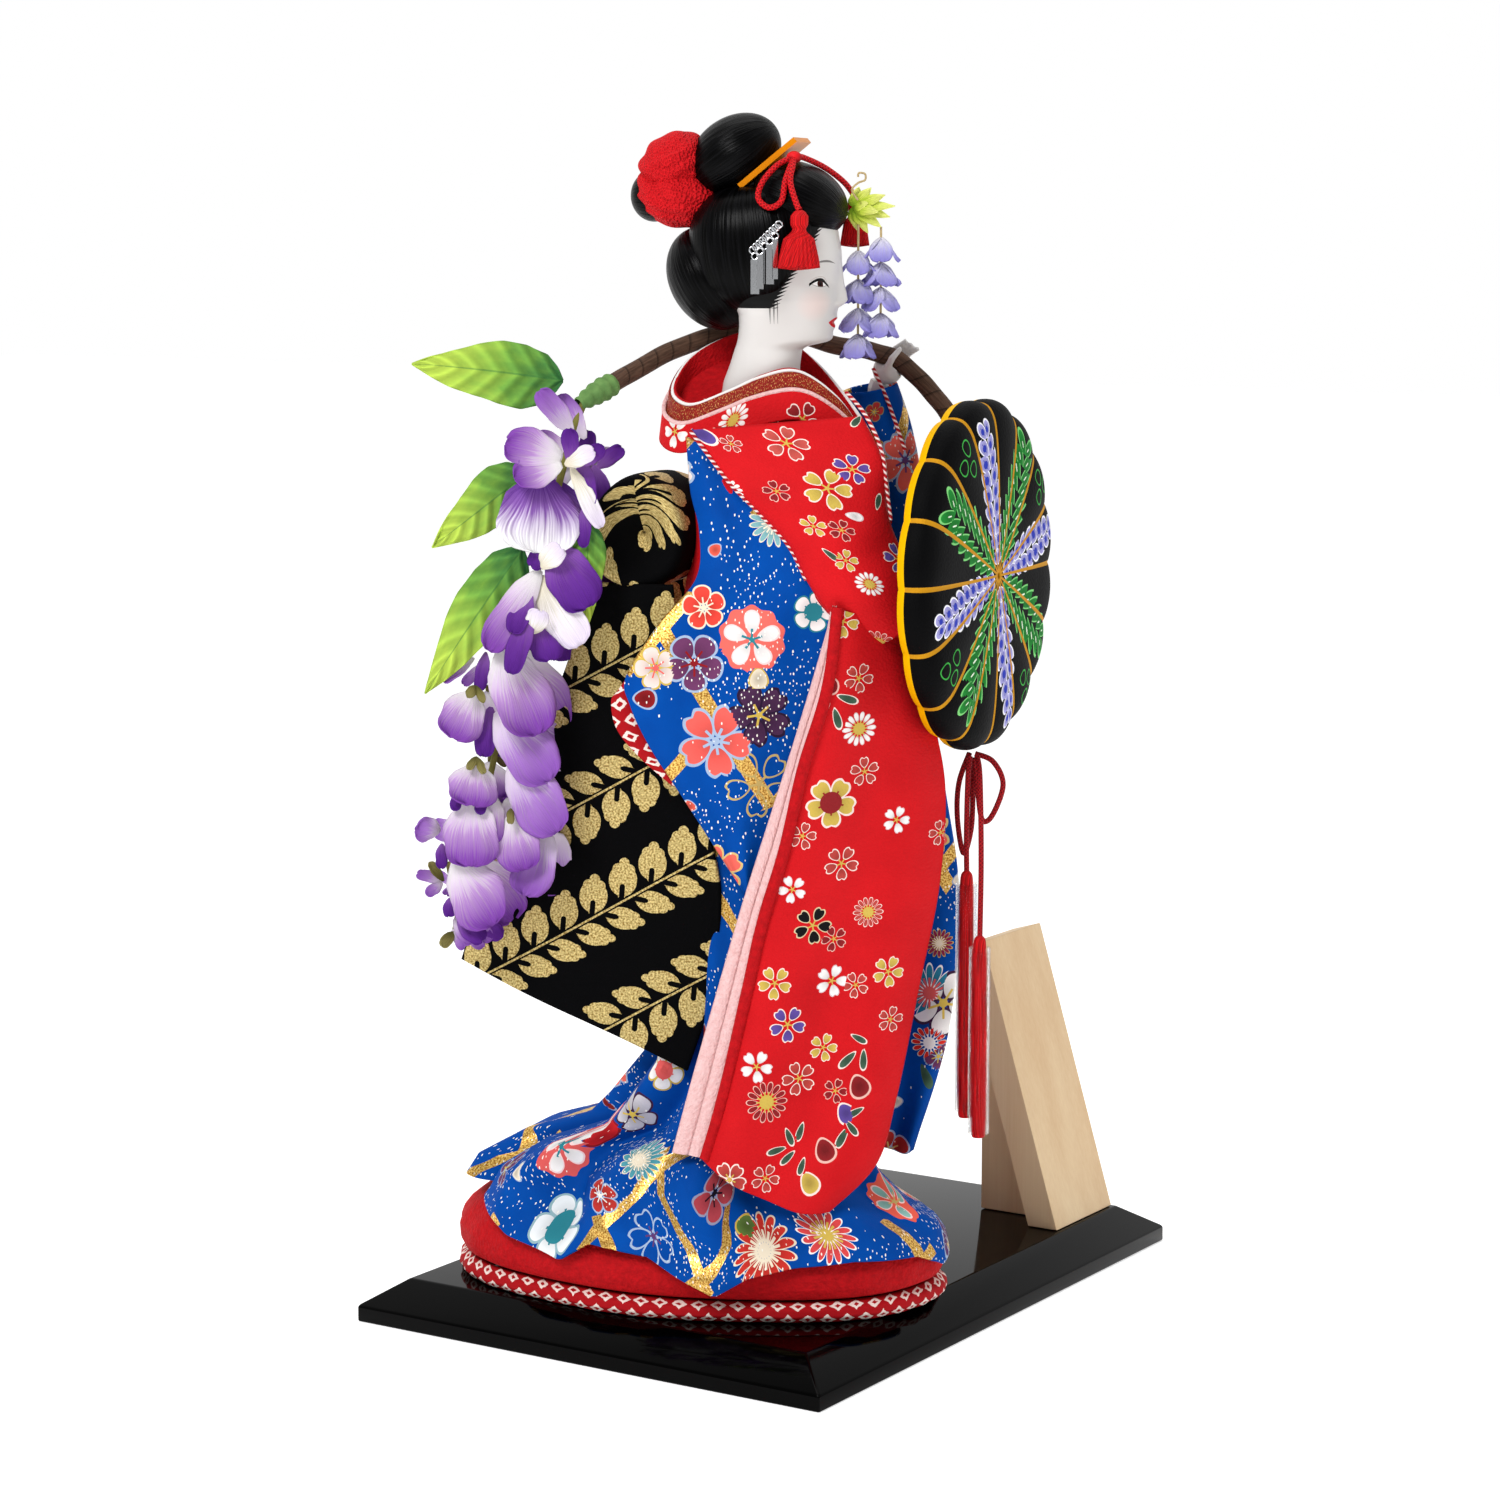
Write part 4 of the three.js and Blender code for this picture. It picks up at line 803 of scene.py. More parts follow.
hem_cloth = grid_piece("under_hem_cloth", under_hem, 400, 12, closed=True)
cloth(hem_cloth, SHIBORI, 1.4, "laid", "under_hem", rests_on=["base_board"])
padding = grid_piece("padded_hem_roll", padded_hem, 400, 30, closed=True)
modify(padding, "SOLIDIFY", thickness=0.004, offset=-1)
finish_mesh(padding, RED_CREPE, "figure", "padded_hem")
BLUE_FLOWERS = [
    ("plum", 8.5, 11.5, ["#5d3a6b", "#f06a5e", "#efd9d2", "#b5342f"], ["#9fb3cf"], ["#c9a96a", "#e8e2d8"]),
    ("full_cherry", 10, 14, ["#f06a5e", "#5d3a6b", "#e9d9d4", None], ["#9fb3cf", "#d8bd7a"],
     ["#5d3a6b", "#f0e6da"]),
    ("medallion", 10, 13, ["#efe6e2", "#8fbdb4"], ["#e8604f", "#c9635a"], ["#c9a96a"]),
    ("wide_mum", 9, 11, ["#efd6cf", "#7c5fa0"], ["#f3ece2"], ["#e8604f"]),
    ("bud", 3, 4.5, ["#efe2cf", "#e8604f", "#8f2a2a"], ["#9fb3cf"], ["#efe2cf"]),
]
skirt_cloth = grid_piece("kimono_skirt_cloth", skirt, 300, 120, closed=True)

# %% [markdown]
# ## Obi
# The sash goes round the waist, is tied in a wide loop at the back, and its two ends trail almost to
# the hem, wider as they fall because the knot gathers them. An end is stretched between two listed
# edges, so that it keeps the outline that the photograph shows.


# %% Obi
def hanging_chart(s, t, points):
    """A flat chart for cloth that hangs facing the viewer."""
    return points[:, 0], -points[:, 2]


def panel(left, right, fold):
    """A place function between two edges, with a fold towards the viewer in millimetres."""
    def place(s, t):
        p = along(left, t) * (1 - s)[:, None] + along(right, t) * s[:, None]
        p[:, 1] -= fold(s, t)
        return p
    return place


OBI = [(195.5, 8, 0, 29.5, 27.5), (229, 10, 0, 30.5, 29.5), (262, 11, 0, 30.5, 32.5)]
band = grid_piece("obi_band_cloth",
                  lambda s, t: oval(SEAM + 2 * math.pi * s, OBI, 262 - 66.5 * t), 120, 40, closed=True)
cloth(band, VINE, 1.6, "stretched", "obi_band", rests_on=["kimono_skirt_cloth"])

LOOP = [(-18, 0.4, 0.4), (-23, 7, 8), (-27, 13, 15), (-24, 17, 19), (-12, 19.2, 21.5), (0, 19.5, 22),
        (22, 19.5, 22), (28, 16.5, 18.5), (24, 8, 9), (18, 0.4, 0.4)]


def obi_loop(s, t):
    row = along(LOOP, t)
    angle = 2 * math.pi * s + math.pi / 2
    wave = 1 + 0.03 * np.sin(3 * angle + 5 * t)
    return np.stack([-25 - 0.34 * row[:, 0] + row[:, 1] * wave * np.cos(angle), -0.94 * row[:, 0],
                     297 + row[:, 2] * wave * np.sin(angle)], -1)


loop = grid_piece("obi_loop_cloth", obi_loop, 120, 50, closed=True)
cloth(loop, VINE, 2.0, "folded", "obi_loop", rests_on=["obi_band_cloth"])

NEAR_LEFT = [[-50, -16, 278], [-62, -14, 244], [-70, -13, 223], [-76, -12, 205], [-88, -10, 176],
             [-97, -8, 150], [-104, -6, 128]]
NEAR_RIGHT = [[-20, -30, 278], [-16, -31, 236], [-13, -31, 212], [-9, -31, 190], [-2, -31, 160],
              [-5, -30, 122], [-15, -28, 88]]


def far_fold(s, t):
    return 2.5 * np.sin(2 * math.pi * s) * t


def near_fold(s, t):
    return far_fold(s, t) + 3 * np.sin(math.pi * s)


tail = grid_piece("obi_tail_near_cloth", panel(NEAR_LEFT, NEAR_RIGHT, near_fold), 70, 120,
                  chart=hanging_chart)
cloth(tail, VINE, 1.6, "hung", "obi_tail_near")
far_left = [[x + 6, 2 - y, z + 6] for x, y, z in NEAR_LEFT]
far_right = [[x + 6, 3 - y, z + 8] for x, y, z in NEAR_RIGHT]
far_tail = grid_piece("obi_tail_far_cloth", panel(far_left, far_right, far_fold), 60, 100,
                      chart=hanging_chart)
cloth(far_tail, VINE, 1.6, "hung", "obi_tail_far")

# %% [markdown]
# ## Bodice and sleeves
# The red robe crosses over the chest. Its right sleeve is a short tube along the raised arm with a
# deep bag hanging from it. A bag is a flattened tube, with its front and back sewn along both edges,
# so it is one grid that goes over the front and comes back behind.

# %% Bodice and sleeves
BODICE = [(262.3, 11, 0, 28, 31), (292, 15.5, 0, 27.5, 35), (318, 20, 0, 32, 36), (334, 15.5, 0, 29.5, 25),
          (347, 11, 0, 20, 14)]
bodice = grid_piece("red_bodice_cloth",
                    lambda s, t: oval(SEAM + 2 * math.pi * s, BODICE, 347 - 84.7 * t), 130, 60, closed=True)

UPPER_LEFT = from_picture((690, 430, -32), (728, 481, -37), (760, 514, -42), (788, 545, -46),
                          (806, 580, -48), (832, 616, -46), (880, 644, -38))
UPPER_RIGHT = from_picture((862, 416, -26), (884, 462, -30), (886, 500, -33), (893, 530, -34),
                           (908, 560, -33), (930, 590, -30), (938, 606, -26))


def sleeve_wrinkles(s, t):
    return 0.8 * np.sin(8 * math.pi * t + 3 * s) * np.sin(math.pi * t) * np.sin(math.pi * s)


BAG_LEFT = [[41, -54, 272], [37, -56, 241], [28, -57, 211], [21, -57, 180], [13, -57, 153], [7, -58, 126],
            [1, -59, 99], [-4, -61, 79], [-9, -63, 62]]
BAG_RIGHT = [[72, -24, 262], [78, -20, 234], [85, -21, 200], [83, -26, 162], [75, -32, 122], [66, -46, 82],
             [58, -56, 58], [40, -66, 42]]


def pillow(left, right, fold, thick, sag=0):
    """A place function for a flat bag: the front from left to right, then the back to the left. Its
    thickness is a function of the way down, and its bottom sags."""
    def place(s, t):
        x = np.where(s < 0.5, 2 * s, 2 - 2 * s)
        half = thick(t) / 2 * np.sqrt(np.sin(math.pi * x)) * np.where(s < 0.5, -1, 1)
        p = along(left, t) * (1 - x)[:, None] + along(right, t) * x[:, None]
        p[:, 1] += half - fold(x, t)
        p[:, 2] -= sag * np.sin(math.pi * x) * t**3
        return p
    return place


def flat_bag(t):
    return 6 + 0 * t


def round_arm(t):
    return 24 * ease(t, -0.15, 0.35)


def bag_fold(s, t):
    return 3.5 * np.sin(3 * math.pi * s) * (0.35 + 0.65 * t) + 4 * np.sin(math.pi * s)


upper = grid_piece("right_sleeve_top", pillow(UPPER_LEFT, UPPER_RIGHT, sleeve_wrinkles, round_arm), 160, 80,
                   middle=0.25, closed=True)
bag = grid_piece("right_sleeve_bag", pillow(BAG_LEFT, BAG_RIGHT, bag_fold, flat_bag, 5), 200, 160,
                 middle=0.25, closed=True, chart=hanging_chart)

# %% [markdown]
# ### Lining and slipped sleeve
# A pink lining shows along the red bag. The blue robe is slipped off this shoulder, and its sleeve
# hangs in folds beside the red one. Only its face is seen, so it is one sheet between two edges.

# %% Lining and slipped sleeve
LINING_LEFT = from_picture((836, 596, -47), (818, 660, -49), (795, 737, -50), (768, 822, -50),
                           (742, 904, -51), (717, 990, -52), (695, 1067, -54), (680, 1122, -56),
                           (672, 1152, -57))
LINING_RIGHT = [[x + 1, y + 2, z] for x, y, z in BAG_LEFT]


def lining_fold(s, t):
    return 1.6 * np.abs(np.sin(2 * math.pi * s)) ** 0.4


lining = grid_piece("right_sleeve_lining_cloth", panel(LINING_LEFT, LINING_RIGHT, lining_fold), 40, 130)

SLIP_LEFT = from_picture((686, 436, -14), (690, 490, -24), (699, 532, -31), (696, 578, -38),
                         (660, 622, -42), (626, 676, -44), (630, 706, -44), (650, 748, -44),
                         (684, 800, -42), (742, 890, -41))
SLIP_RIGHT = from_picture((748, 474, -38), (810, 524, -46), (834, 566, -50), (842, 598, -48),
                          (828, 640, -45), (818, 680, -46), (808, 725, -46), (792, 780, -46),
                          (775, 835, -45), (752, 897, -43))


def trim_fold(s, t):
    return 2 * np.sin(math.pi * s)


def slip_fold(s, t):
    return 2.5 * np.sin(math.pi * s) + 1.8 * np.sin(4 * math.pi * s) * (1 - 0.6 * t)


slip = grid_piece("slipped_sleeve_cloth", panel(SLIP_LEFT, SLIP_RIGHT, slip_fold), 90, 150,
                  chart=hanging_chart)
TRIM = from_picture((632, 670, -40), (618, 690, -39), (611, 702, -38), (617, 730, -38), (640, 758, -38),
                    (672, 786, -39))
trim = grid_piece("slipped_sleeve_lining_cloth", panel(TRIM, TRIM + (14, 2, 2), trim_fold), 24, 80)

# %% [markdown]
# ### Left sleeve
# The far arm is raised to the branch. Its sleeve is two short tubes round the bend of the elbow, and a
# bag that hangs from them. The print is added once all the cloth is in place.

# %% Left sleeve
LOWER = [[20, 34, 326, 12, 9], [38, 42, 311, 16, 12], [60, 43, 301, 15, 12]]
RAISED = [[64, 43, 288, 13, 10], [63, 41, 310, 15, 11], [60, 38, 332, 14, 11], [57, 36, 350, 11, 10]]
HANG_LEFT = [[46, 44, 292], [44, 42, 240], [42, 40, 180], [44, 38, 120], [52, 36, 70], [60, 34, 48]]
HANG_RIGHT = [[70, 42, 292], [80, 40, 240], [88, 38, 190], [94, 36, 145], [90, 34, 90], [76, 32, 42]]
lower = grid_piece("left_sleeve_lower", tube(LOWER, across=(0, 1, 0)), 60, 30, closed=True)
raised = grid_piece("left_sleeve_raised", tube(RAISED, across=(1, 0, 0)), 60, 40, closed=True)


def far_bag_fold(s, t):
    return 3 * np.sin(3 * math.pi * s) * (0.3 + 0.7 * t)


far_bag = grid_piece("left_sleeve_bag_cloth", pillow(HANG_LEFT, HANG_RIGHT, far_bag_fold, flat_bag, 4),
                     130, 140, middle=0.25, closed=True, chart=hanging_chart)

# %% [markdown]
# ## The prints
# The big flowers are set where the photograph shows them, in its pixels, and each lands on whichever
# piece of cloth is in front there. A flower is its place, its radius in millimetres and its turn, with
# its kind and its colours. Cloth that the photograph doesn't show is strewn by chance.

# %% The prints
GOLD, SALMON, WHITE, WINE = "#cdb050", "#b8423c", "#f4f0ee", "#8c1f24"
VIOLET, SAGE, INK, CORAL = "#5f4a9b", "#44624f", "#0c0c0e", "#f0625a"
TEAL, PLUM, PALE_BLUE, CREAM = "#2c7f8c", "#6d3a62", "#9fb3cf", "#e8dcc4"
RED_PINS = {
    ("cherry", GOLD): [(848, 626, 6.5, 0.3), (895, 971, 6.3, 0.2), (780, 985, 6.7, 0.4),
                       (830, 1047, 5.6, 0.1), (830, 482, 9.9, 0.3), (817, 521, 5, 0), (852, 563, 5, 0.2)],
    ("cherry", SALMON): [(865, 679, 5.9, 0.2), (871, 772, 5.8, 0.9), (847, 867, 6.9, 0.3),
                         (947, 833, 5, 0.7), (807, 841, 5.5, 0), (862, 987, 5.2, 0.5),
                         (897, 1018, 5.1, 0), (805, 1079, 6.7, 0.6), (771, 1182, 5.6, 0.2),
                         (819, 400, 5.3, 1.6), (727, 439, 4.2, 0)],
    ("bud", WINE): [(834, 691, 4, 0), (863, 1081, 5, 1.2), (824, 1144, 5, 1.2), (724, 420, 5, 0)],
    ("leaf", SAGE): [(854, 701, 4.6, 0.4), (843, 721, 4.6, 1.3), (827, 714, 4, 2.2),
                     (862, 1033, 3.6, 0.5), (853, 1057, 4.6, 2.4), (868, 1056, 4.2, 1.6),
                     (862, 1112, 3.8, 2.7), (857, 1126, 3.8, 0.9), (844, 1131, 4.6, 2.1),
                     (796, 1137, 3.9, 1.2), (807, 1131, 3.9, 1.9), (783, 1152, 4, 2.9),
                     (794, 1157, 3.8, 2.4), (801, 1160, 3.6, 1.9), (751, 410, 5.6, 2.5),
                     (772, 413, 5.6, 1.2), (786, 396, 4.2, 0.2), (835, 560, 3.6, 1)],
    ("mum", WHITE): [(865, 732, 6.6, 0), (876, 585, 5.4, 0)],
    ("gold_cherry", GOLD): [(836, 807, 10.1, 0.3)],
    ("cherry", WHITE): [(902, 823, 5.4, 0.1), (797, 893, 5.5, 0.5), (838, 979, 6.4, 0.1),
                        (751, 1068, 6.3, 0.2)],
    ("full_cherry", WINE): [(955, 779, 8.5, 0.3)],
    ("mum", SALMON): [(874, 915, 5.9, 0)],
    ("cherry", INK): [(817, 930, 7.6, 0.2)],
    ("cherry", WINE): [(840, 942, 5.2, 0.6), (833, 1085, 4.8, 0.1), (774, 485, 5.5, 0.9),
                       (846, 525, 5.2, 0.3)],
    ("cherry", VIOLET): [(794, 1023, 7.2, 0.3), (853, 463, 7.6, 0.1)],
    ("mum", WINE): [(773, 1100, 7.9, 0)],
    ("bud", VIOLET): [(842, 1108, 4.6, 1)],
    ("bud", GOLD): [(808, 1177, 4.6, 1)],
    ("full_cherry", SALMON): [(730, 1174, 6.8, 0.4)],
    ("petal", VIOLET): [(698, 430, 6, 0.9)],
    ("cherry", "#c4524a"): [(790, 438, 8.6, 0.2)],
    ("petal", WHITE): [(860, 512, 3.5, 0.4)],
}
RED_RIMS = {INK: "#d8c8a0", WINE: "#e8b8ac", WHITE: "#d8c4c8"}
BLUE_PINS = [
    (697, 668, 11.4, 0.3, "plum", PLUM, PALE_BLUE, WINE),
    (746, 637, 12.6, -1.57, "medallion", WHITE, "#e86a60", TEAL),
    (706, 604, 8.5, 0.8, "plum", "#e8483c", CREAM, CREAM),
    (764, 682, 4.8, 1.57, "bud", CREAM, GOLD, CREAM),
    (765, 719, 12.8, 0.5, "full_cherry", "#4a2c4c", "#2c1c34", GOLD),
    (712, 746, 15, 0.15, "full_cherry", CORAL, PALE_BLUE, PALE_BLUE),
    (762, 790, 13.5, 0.4, "cherry", None, "#c0a868", "#c0a868"),
    (816, 618, 8, 0, "star_plum", WHITE, TEAL, TEAL),
    (650, 667, 8.5, 0.6, "plum", "#e8d4cc", GOLD, CORAL),
    (769, 519, 9.5, 0.2, "wide_mum", "#7fb0b4", CREAM, CREAM),
    (640, 703, 5, 0, "bud", WINE, PALE_BLUE, WINE),
    (564, 1139, 12.6, 0.4, "medallion", WHITE, "#d85a58", TEAL),
    (559, 1222, 12.8, 0.3, "star_plum", "#e8ecee", "#8fb0b8", TEAL),
    (639, 1113, 10.5, 0.2, "plum", "#c8c4cc", "#3f2440", GOLD),
    (639, 1155, 9, 0, "wide_mum", "#4f9aa8", CREAM, CREAM),
    (670, 1072, 8.5, 0.3, "star_plum", WHITE, GOLD, "#d85a58"),
    (716, 1188, 11.5, 0.6, "plum", "#a8404a", "#8f8fa8", "#14101c"),
    (766, 1244, 13.5, 0, "wide_mum", "#c8342c", CREAM, CREAM),
    (827, 1228, 11, 0.2, "wide_mum", "#d8484a", WHITE, GOLD),
    (747, 1219, 6, 0, "bud", "#5f7a3c", GOLD, GOLD),
    (600, 1136, 6, 0, "bud", "#c8242a", WINE, WINE),
    (943, 946, 6, 0, "wide_mum", "#8c2a4a", GOLD, CREAM),
    (923, 994, 12.5, 0, "wide_mum", "#2c7f9c", WHITE, "#d85a58"),
    (949, 1004, 14, 0.3, "plum", WHITE, "#3f2440", GOLD),
    (923, 1045, 7.2, 0, "mum", "#e03028", CREAM, WHITE),
    (923, 1083, 5.5, 1.2, "leaf", SAGE, SAGE, SAGE),
    (944, 1060, 6, 0.4, "plum", PLUM, PALE_BLUE, GOLD),
    (874, 418, 4, 0, "plum", "#b83a3a", "#7f8f6a", GOLD),
    (706, 1130, 6, 0.3, "bud", "#c8242a", WINE, WINE),
    (500, 1165, 8, 0.3, "full_cherry", PLUM, PALE_BLUE, GOLD),
]
RED_FLOWERS = [("cherry", 5, 8.5, [GOLD, SALMON, VIOLET, WHITE, WINE], ["#f0dcd4"], [GOLD]),
               ("mum", 5.5, 7, [WHITE, SALMON], ["#f0dcd4"], [GOLD]),
               ("leaf", 3.5, 5, [SAGE], ["#e6e0d0"], [SAGE])]


def spread(piece):
    """The least and greatest UV of a piece, in millimetres."""
    uv = PLACES[piece.name][3]
    return uv.min(0), uv.max(0)


RED_PIECES = [bodice, upper, bag]
red_flowers = [(*at, kind, tint, RED_RIMS.get(tint, "#f0dcd4"), WINE if kind == "gold_cherry" else GOLD)
               for (kind, tint), places in RED_PINS.items() for at in places]
red_stamps = pinned(RED_PIECES, red_flowers)
for seed, piece in enumerate(RED_PIECES):
    stamps = red_stamps[piece.name]
    if piece is not bag:
        stamps = scatter(seed, *spread(piece), RED_FLOWERS, 500, 5, stamps)
    stamp(piece, stamps)
BLUE_PIECES = [skirt_cloth, slip, lower, raised, far_bag]
blue_stamps = pinned(BLUE_PIECES, BLUE_PINS)
for seed, piece in enumerate(BLUE_PIECES):
    stamp(piece, scatter(seed, *spread(piece), BLUE_FLOWERS, 700, 6, blue_stamps[piece.name]))
cloth(skirt_cloth, BLUE_PRINT, 1.2, "draped", "kimono_skirt", rests_on=["padded_hem_roll"])
cloth(bodice, RED_PRINT, 1.2, "stretched", "red_bodice")
cloth(upper, RED_PRINT, 1.2, "draped", slot="red")
cloth(bag, RED_PRINT, 1.0, "hung", "right_sleeve")
cloth(lining, PINK_CREPE, 1.6, "hung", "right_sleeve_lining")
cloth(slip, BLUE_PRINT, 1.2, "hung", "slipped_sleeve")
cloth(trim, SHIBORI, 1.2, "hung", "slipped_sleeve_lining")
cloth(lower, BLUE_PRINT, 1.2, "draped", "left_sleeve")
cloth(raised, BLUE_PRINT, 1.2, "draped", slot="blue")
cloth(far_bag, BLUE_PRINT, 1.0, "hung", "left_sleeve_bag")

# %% [markdown]
# ## Collars
# Three layers stand away from the nape, as a dancer wears them: a red lining, a brocade band with a
# white edge, and the outer robe with a pale pink piping. All follow one line round the neck, each a
# little farther out, so they can't cross.

# %% Collars
COLLAR = [[59, -6, 320], [51, -11, 336], [42, -15, 348], [28, -17, 357], [14, -17, 355], [0, -16, 349],
          [-14, -11, 344], [-21, 0, 349], [-14, 12, 361], [2, 17, 369], [18, 18, 369.5], [32, 15, 362],
          [45, 9, 349], [57, 2, 331], [60, -1, 316]]


def collar(space, above, below):
    """A place function for a band round the neck, so far outside the collar line and down from it."""
    def place(s, t):
        p = along(COLLAR, s)
        out = unit(np.stack([p[:, 0] - 20.5, p[:, 1], 0 * s], -1))
        down = above + (below - above) * t
        p = p + out * (space + 0.12 * down)[:, None]
        p[:, 2] -= down
        return p
    return place


def brocade():
    """Dark red brocade with flecks of gold thread in slanting rows."""
    material, add, shader = new_material("red_gold_brocade")
    uv = add("UVMap")
    slant = add("Mapping", uv, None, (0.0, 0.0, 0.7), (1.6, 0.8, 1.0))
    thread = add("TexNoise.2D", slant, 1.6, 2.0)
    spark = add("MapRange", thread, 0.6, 0.72)
    cloud = add("TexNoise.2D", uv, 0.5, 1.0)
    dark = add("Mix.RGBA", cloud, linear("#701412"), linear("#9c241c"))
    colour = add("Mix.RGBA", spark, dark, linear("#e0b468"))
    feed(shader, Base_Color=colour, Metallic=add("MULTIPLY", spark, 0.6), Roughness=0.45,
         Normal=add("Bump", 0.5, 0.0002, None, thread))
    return material


BROCADE = brocade()
WHITE_SILK = new_material("white_silk", Roughness=0.6, Base_Color=linear("#eceae8"))[0]
for node, finish, size in (("collar_red", RED_CREPE, (-1.7, -2.5, 9)),
                           ("collar_brocade", BROCADE, (0, -1, 9)),
                           ("collar_outer", RED_PRINT, (1.7, 6, 17))):
    piece = grid_piece(f"{node}_cloth", collar(*size), 200, 16)
    if finish is RED_PRINT:
        stamp(piece, scatter(21, *spread(piece), RED_FLOWERS, 60, 6))
    cloth(piece, finish, 1.0, "folded", node)


def under_collar(s, t):
    """The cloth that closes the robe inside the collar, drawn in to the foot of the neck."""
    rim = collar(-1.2, 6.5, 0)(s, 0 * t)
    return rim + (np.array([16, 0, 338]) - rim) * t[:, None]


inner = grid_piece("under_collar_cloth", under_collar, 120, 20)
cloth(inner, RED_CREPE, 1.0, "folded", slot="red")


def edging(name, line, radius, finish, slot):
    """A piping of that radius in millimetres along listed points."""
    rows = [(*p, radius) for p in line]
    piece = grid_piece(name, tube(rows, across=(0.02, 0.03, 1)), 10, 14 * len(rows), closed=True)
    finish_mesh(piece, finish, "figure", slot=slot)


steps = np.linspace(0, 1, 40)
edging("collar_white_edge", collar(-0.5, -1.4, 0)(steps, 0 * steps), 0.8, WHITE_SILK, "white")
edging("collar_pink_piping", collar(2.2, 5.6, 0)(steps, 0 * steps), 0.9, PINK_CREPE, "pink")

# %% [markdown]
# ## Head
# The head is white gofun, ground shell in glue, over a turned form. A table gives the profile of the
# brow, cheek, chin and neck by height. Nose, lips and eye hollows are soft swellings on it. The eyes,
# brows, lips and blush are painted by formula on a chart of millimetres across and up.

# %% Head
HEAD_TURN = math.radians(-13)


def on_head(points):
    """Head millimetres, with +X the way she faces, as figure millimetres."""
    return swung(points, HEAD_TURN, (16.5, 0, 0))


PROFILE = [(430, 12, 14, 12), (422, 22, 20, 18), (414, 26.5, 22, 20.3), (404, 28.3, 22, 21),
           (398, 28.5, 21, 21), (391, 28, 20, 20.8), (385, 27.8, 15, 19.9), (380, 26.6, 11, 18.2),
           (376, 25.6, 10.8, 16.6), (372, 24.8, 11.2, 15.1), (370, 23.8, 11.6, 14.4),
           (369, 21.6, 11.9, 14.1), (368, 16, 12.2, 13.8), (366.5, 13, 12.8, 13.5), (360, 12.2, 15, 12.8),
           (354, 12, 17.4, 12.5), (348, 12.2, 18.4, 12.5), (341, 12.6, 18, 12.6), (337, 13, 17, 13)]


def head_form(s, t):
    angle = -math.pi + 2 * math.pi * s
    z = 430 - 93 * t
    table = np.asarray(PROFILE[::-1], float)
    front, back, half = (np.mean([np.interp(z + d, table[:, 0], table[:, k])
                                  for d in (-0.7, -0.2, 0.2, 0.7)], 0) for k in (1, 2, 3))
    c, d = np.cos(angle), np.sin(angle)
    power = np.where(c > 0, 2 / 2.3, 1.0)
    x = np.where(c > 0, front, back) * np.sign(c) * np.abs(c) ** power
    y = half * np.sign(d) * np.abs(d) ** power
    ahead = (c > 0) * 1.0

    def swell(high, y0, z0, wy, wz):
        return high * np.exp(-((np.abs(y) - y0) / wy) ** 2 - ((z - z0) / wz) ** 2)
    ridge = np.interp(z, [382.2, 383.4, 385.3, 388, 392, 397, 403], [0, 1.9, 3.5, 3.0, 1.8, 0.8, 0])
    ridge = ridge * np.exp(-(y / np.interp(z, [383, 386, 392, 400], [3.0, 2.7, 2.0, 2.4])) ** 2)
    face = (ridge + swell(0.9, 2.7, 384.4, 1.3, 1.3) + swell(0.9, 0, 378.6, 4, 1.1)
            + swell(0.9, 0, 375.2, 3.2, 1.2) + swell(-0.7, 0, 376.9, 4.4, 0.5)
            + swell(1.0, 0, 370.4, 5, 2.4) + swell(-1.1, 9.5, 392.2, 4, 2.6) + swell(0.5, 12, 384, 5, 4))
    return on_head(np.stack([x + face * ahead, y, z], -1))


def face_chart(s, t, points):
    return (-math.pi + 2 * math.pi * s) * 24, 430 - 93 * t


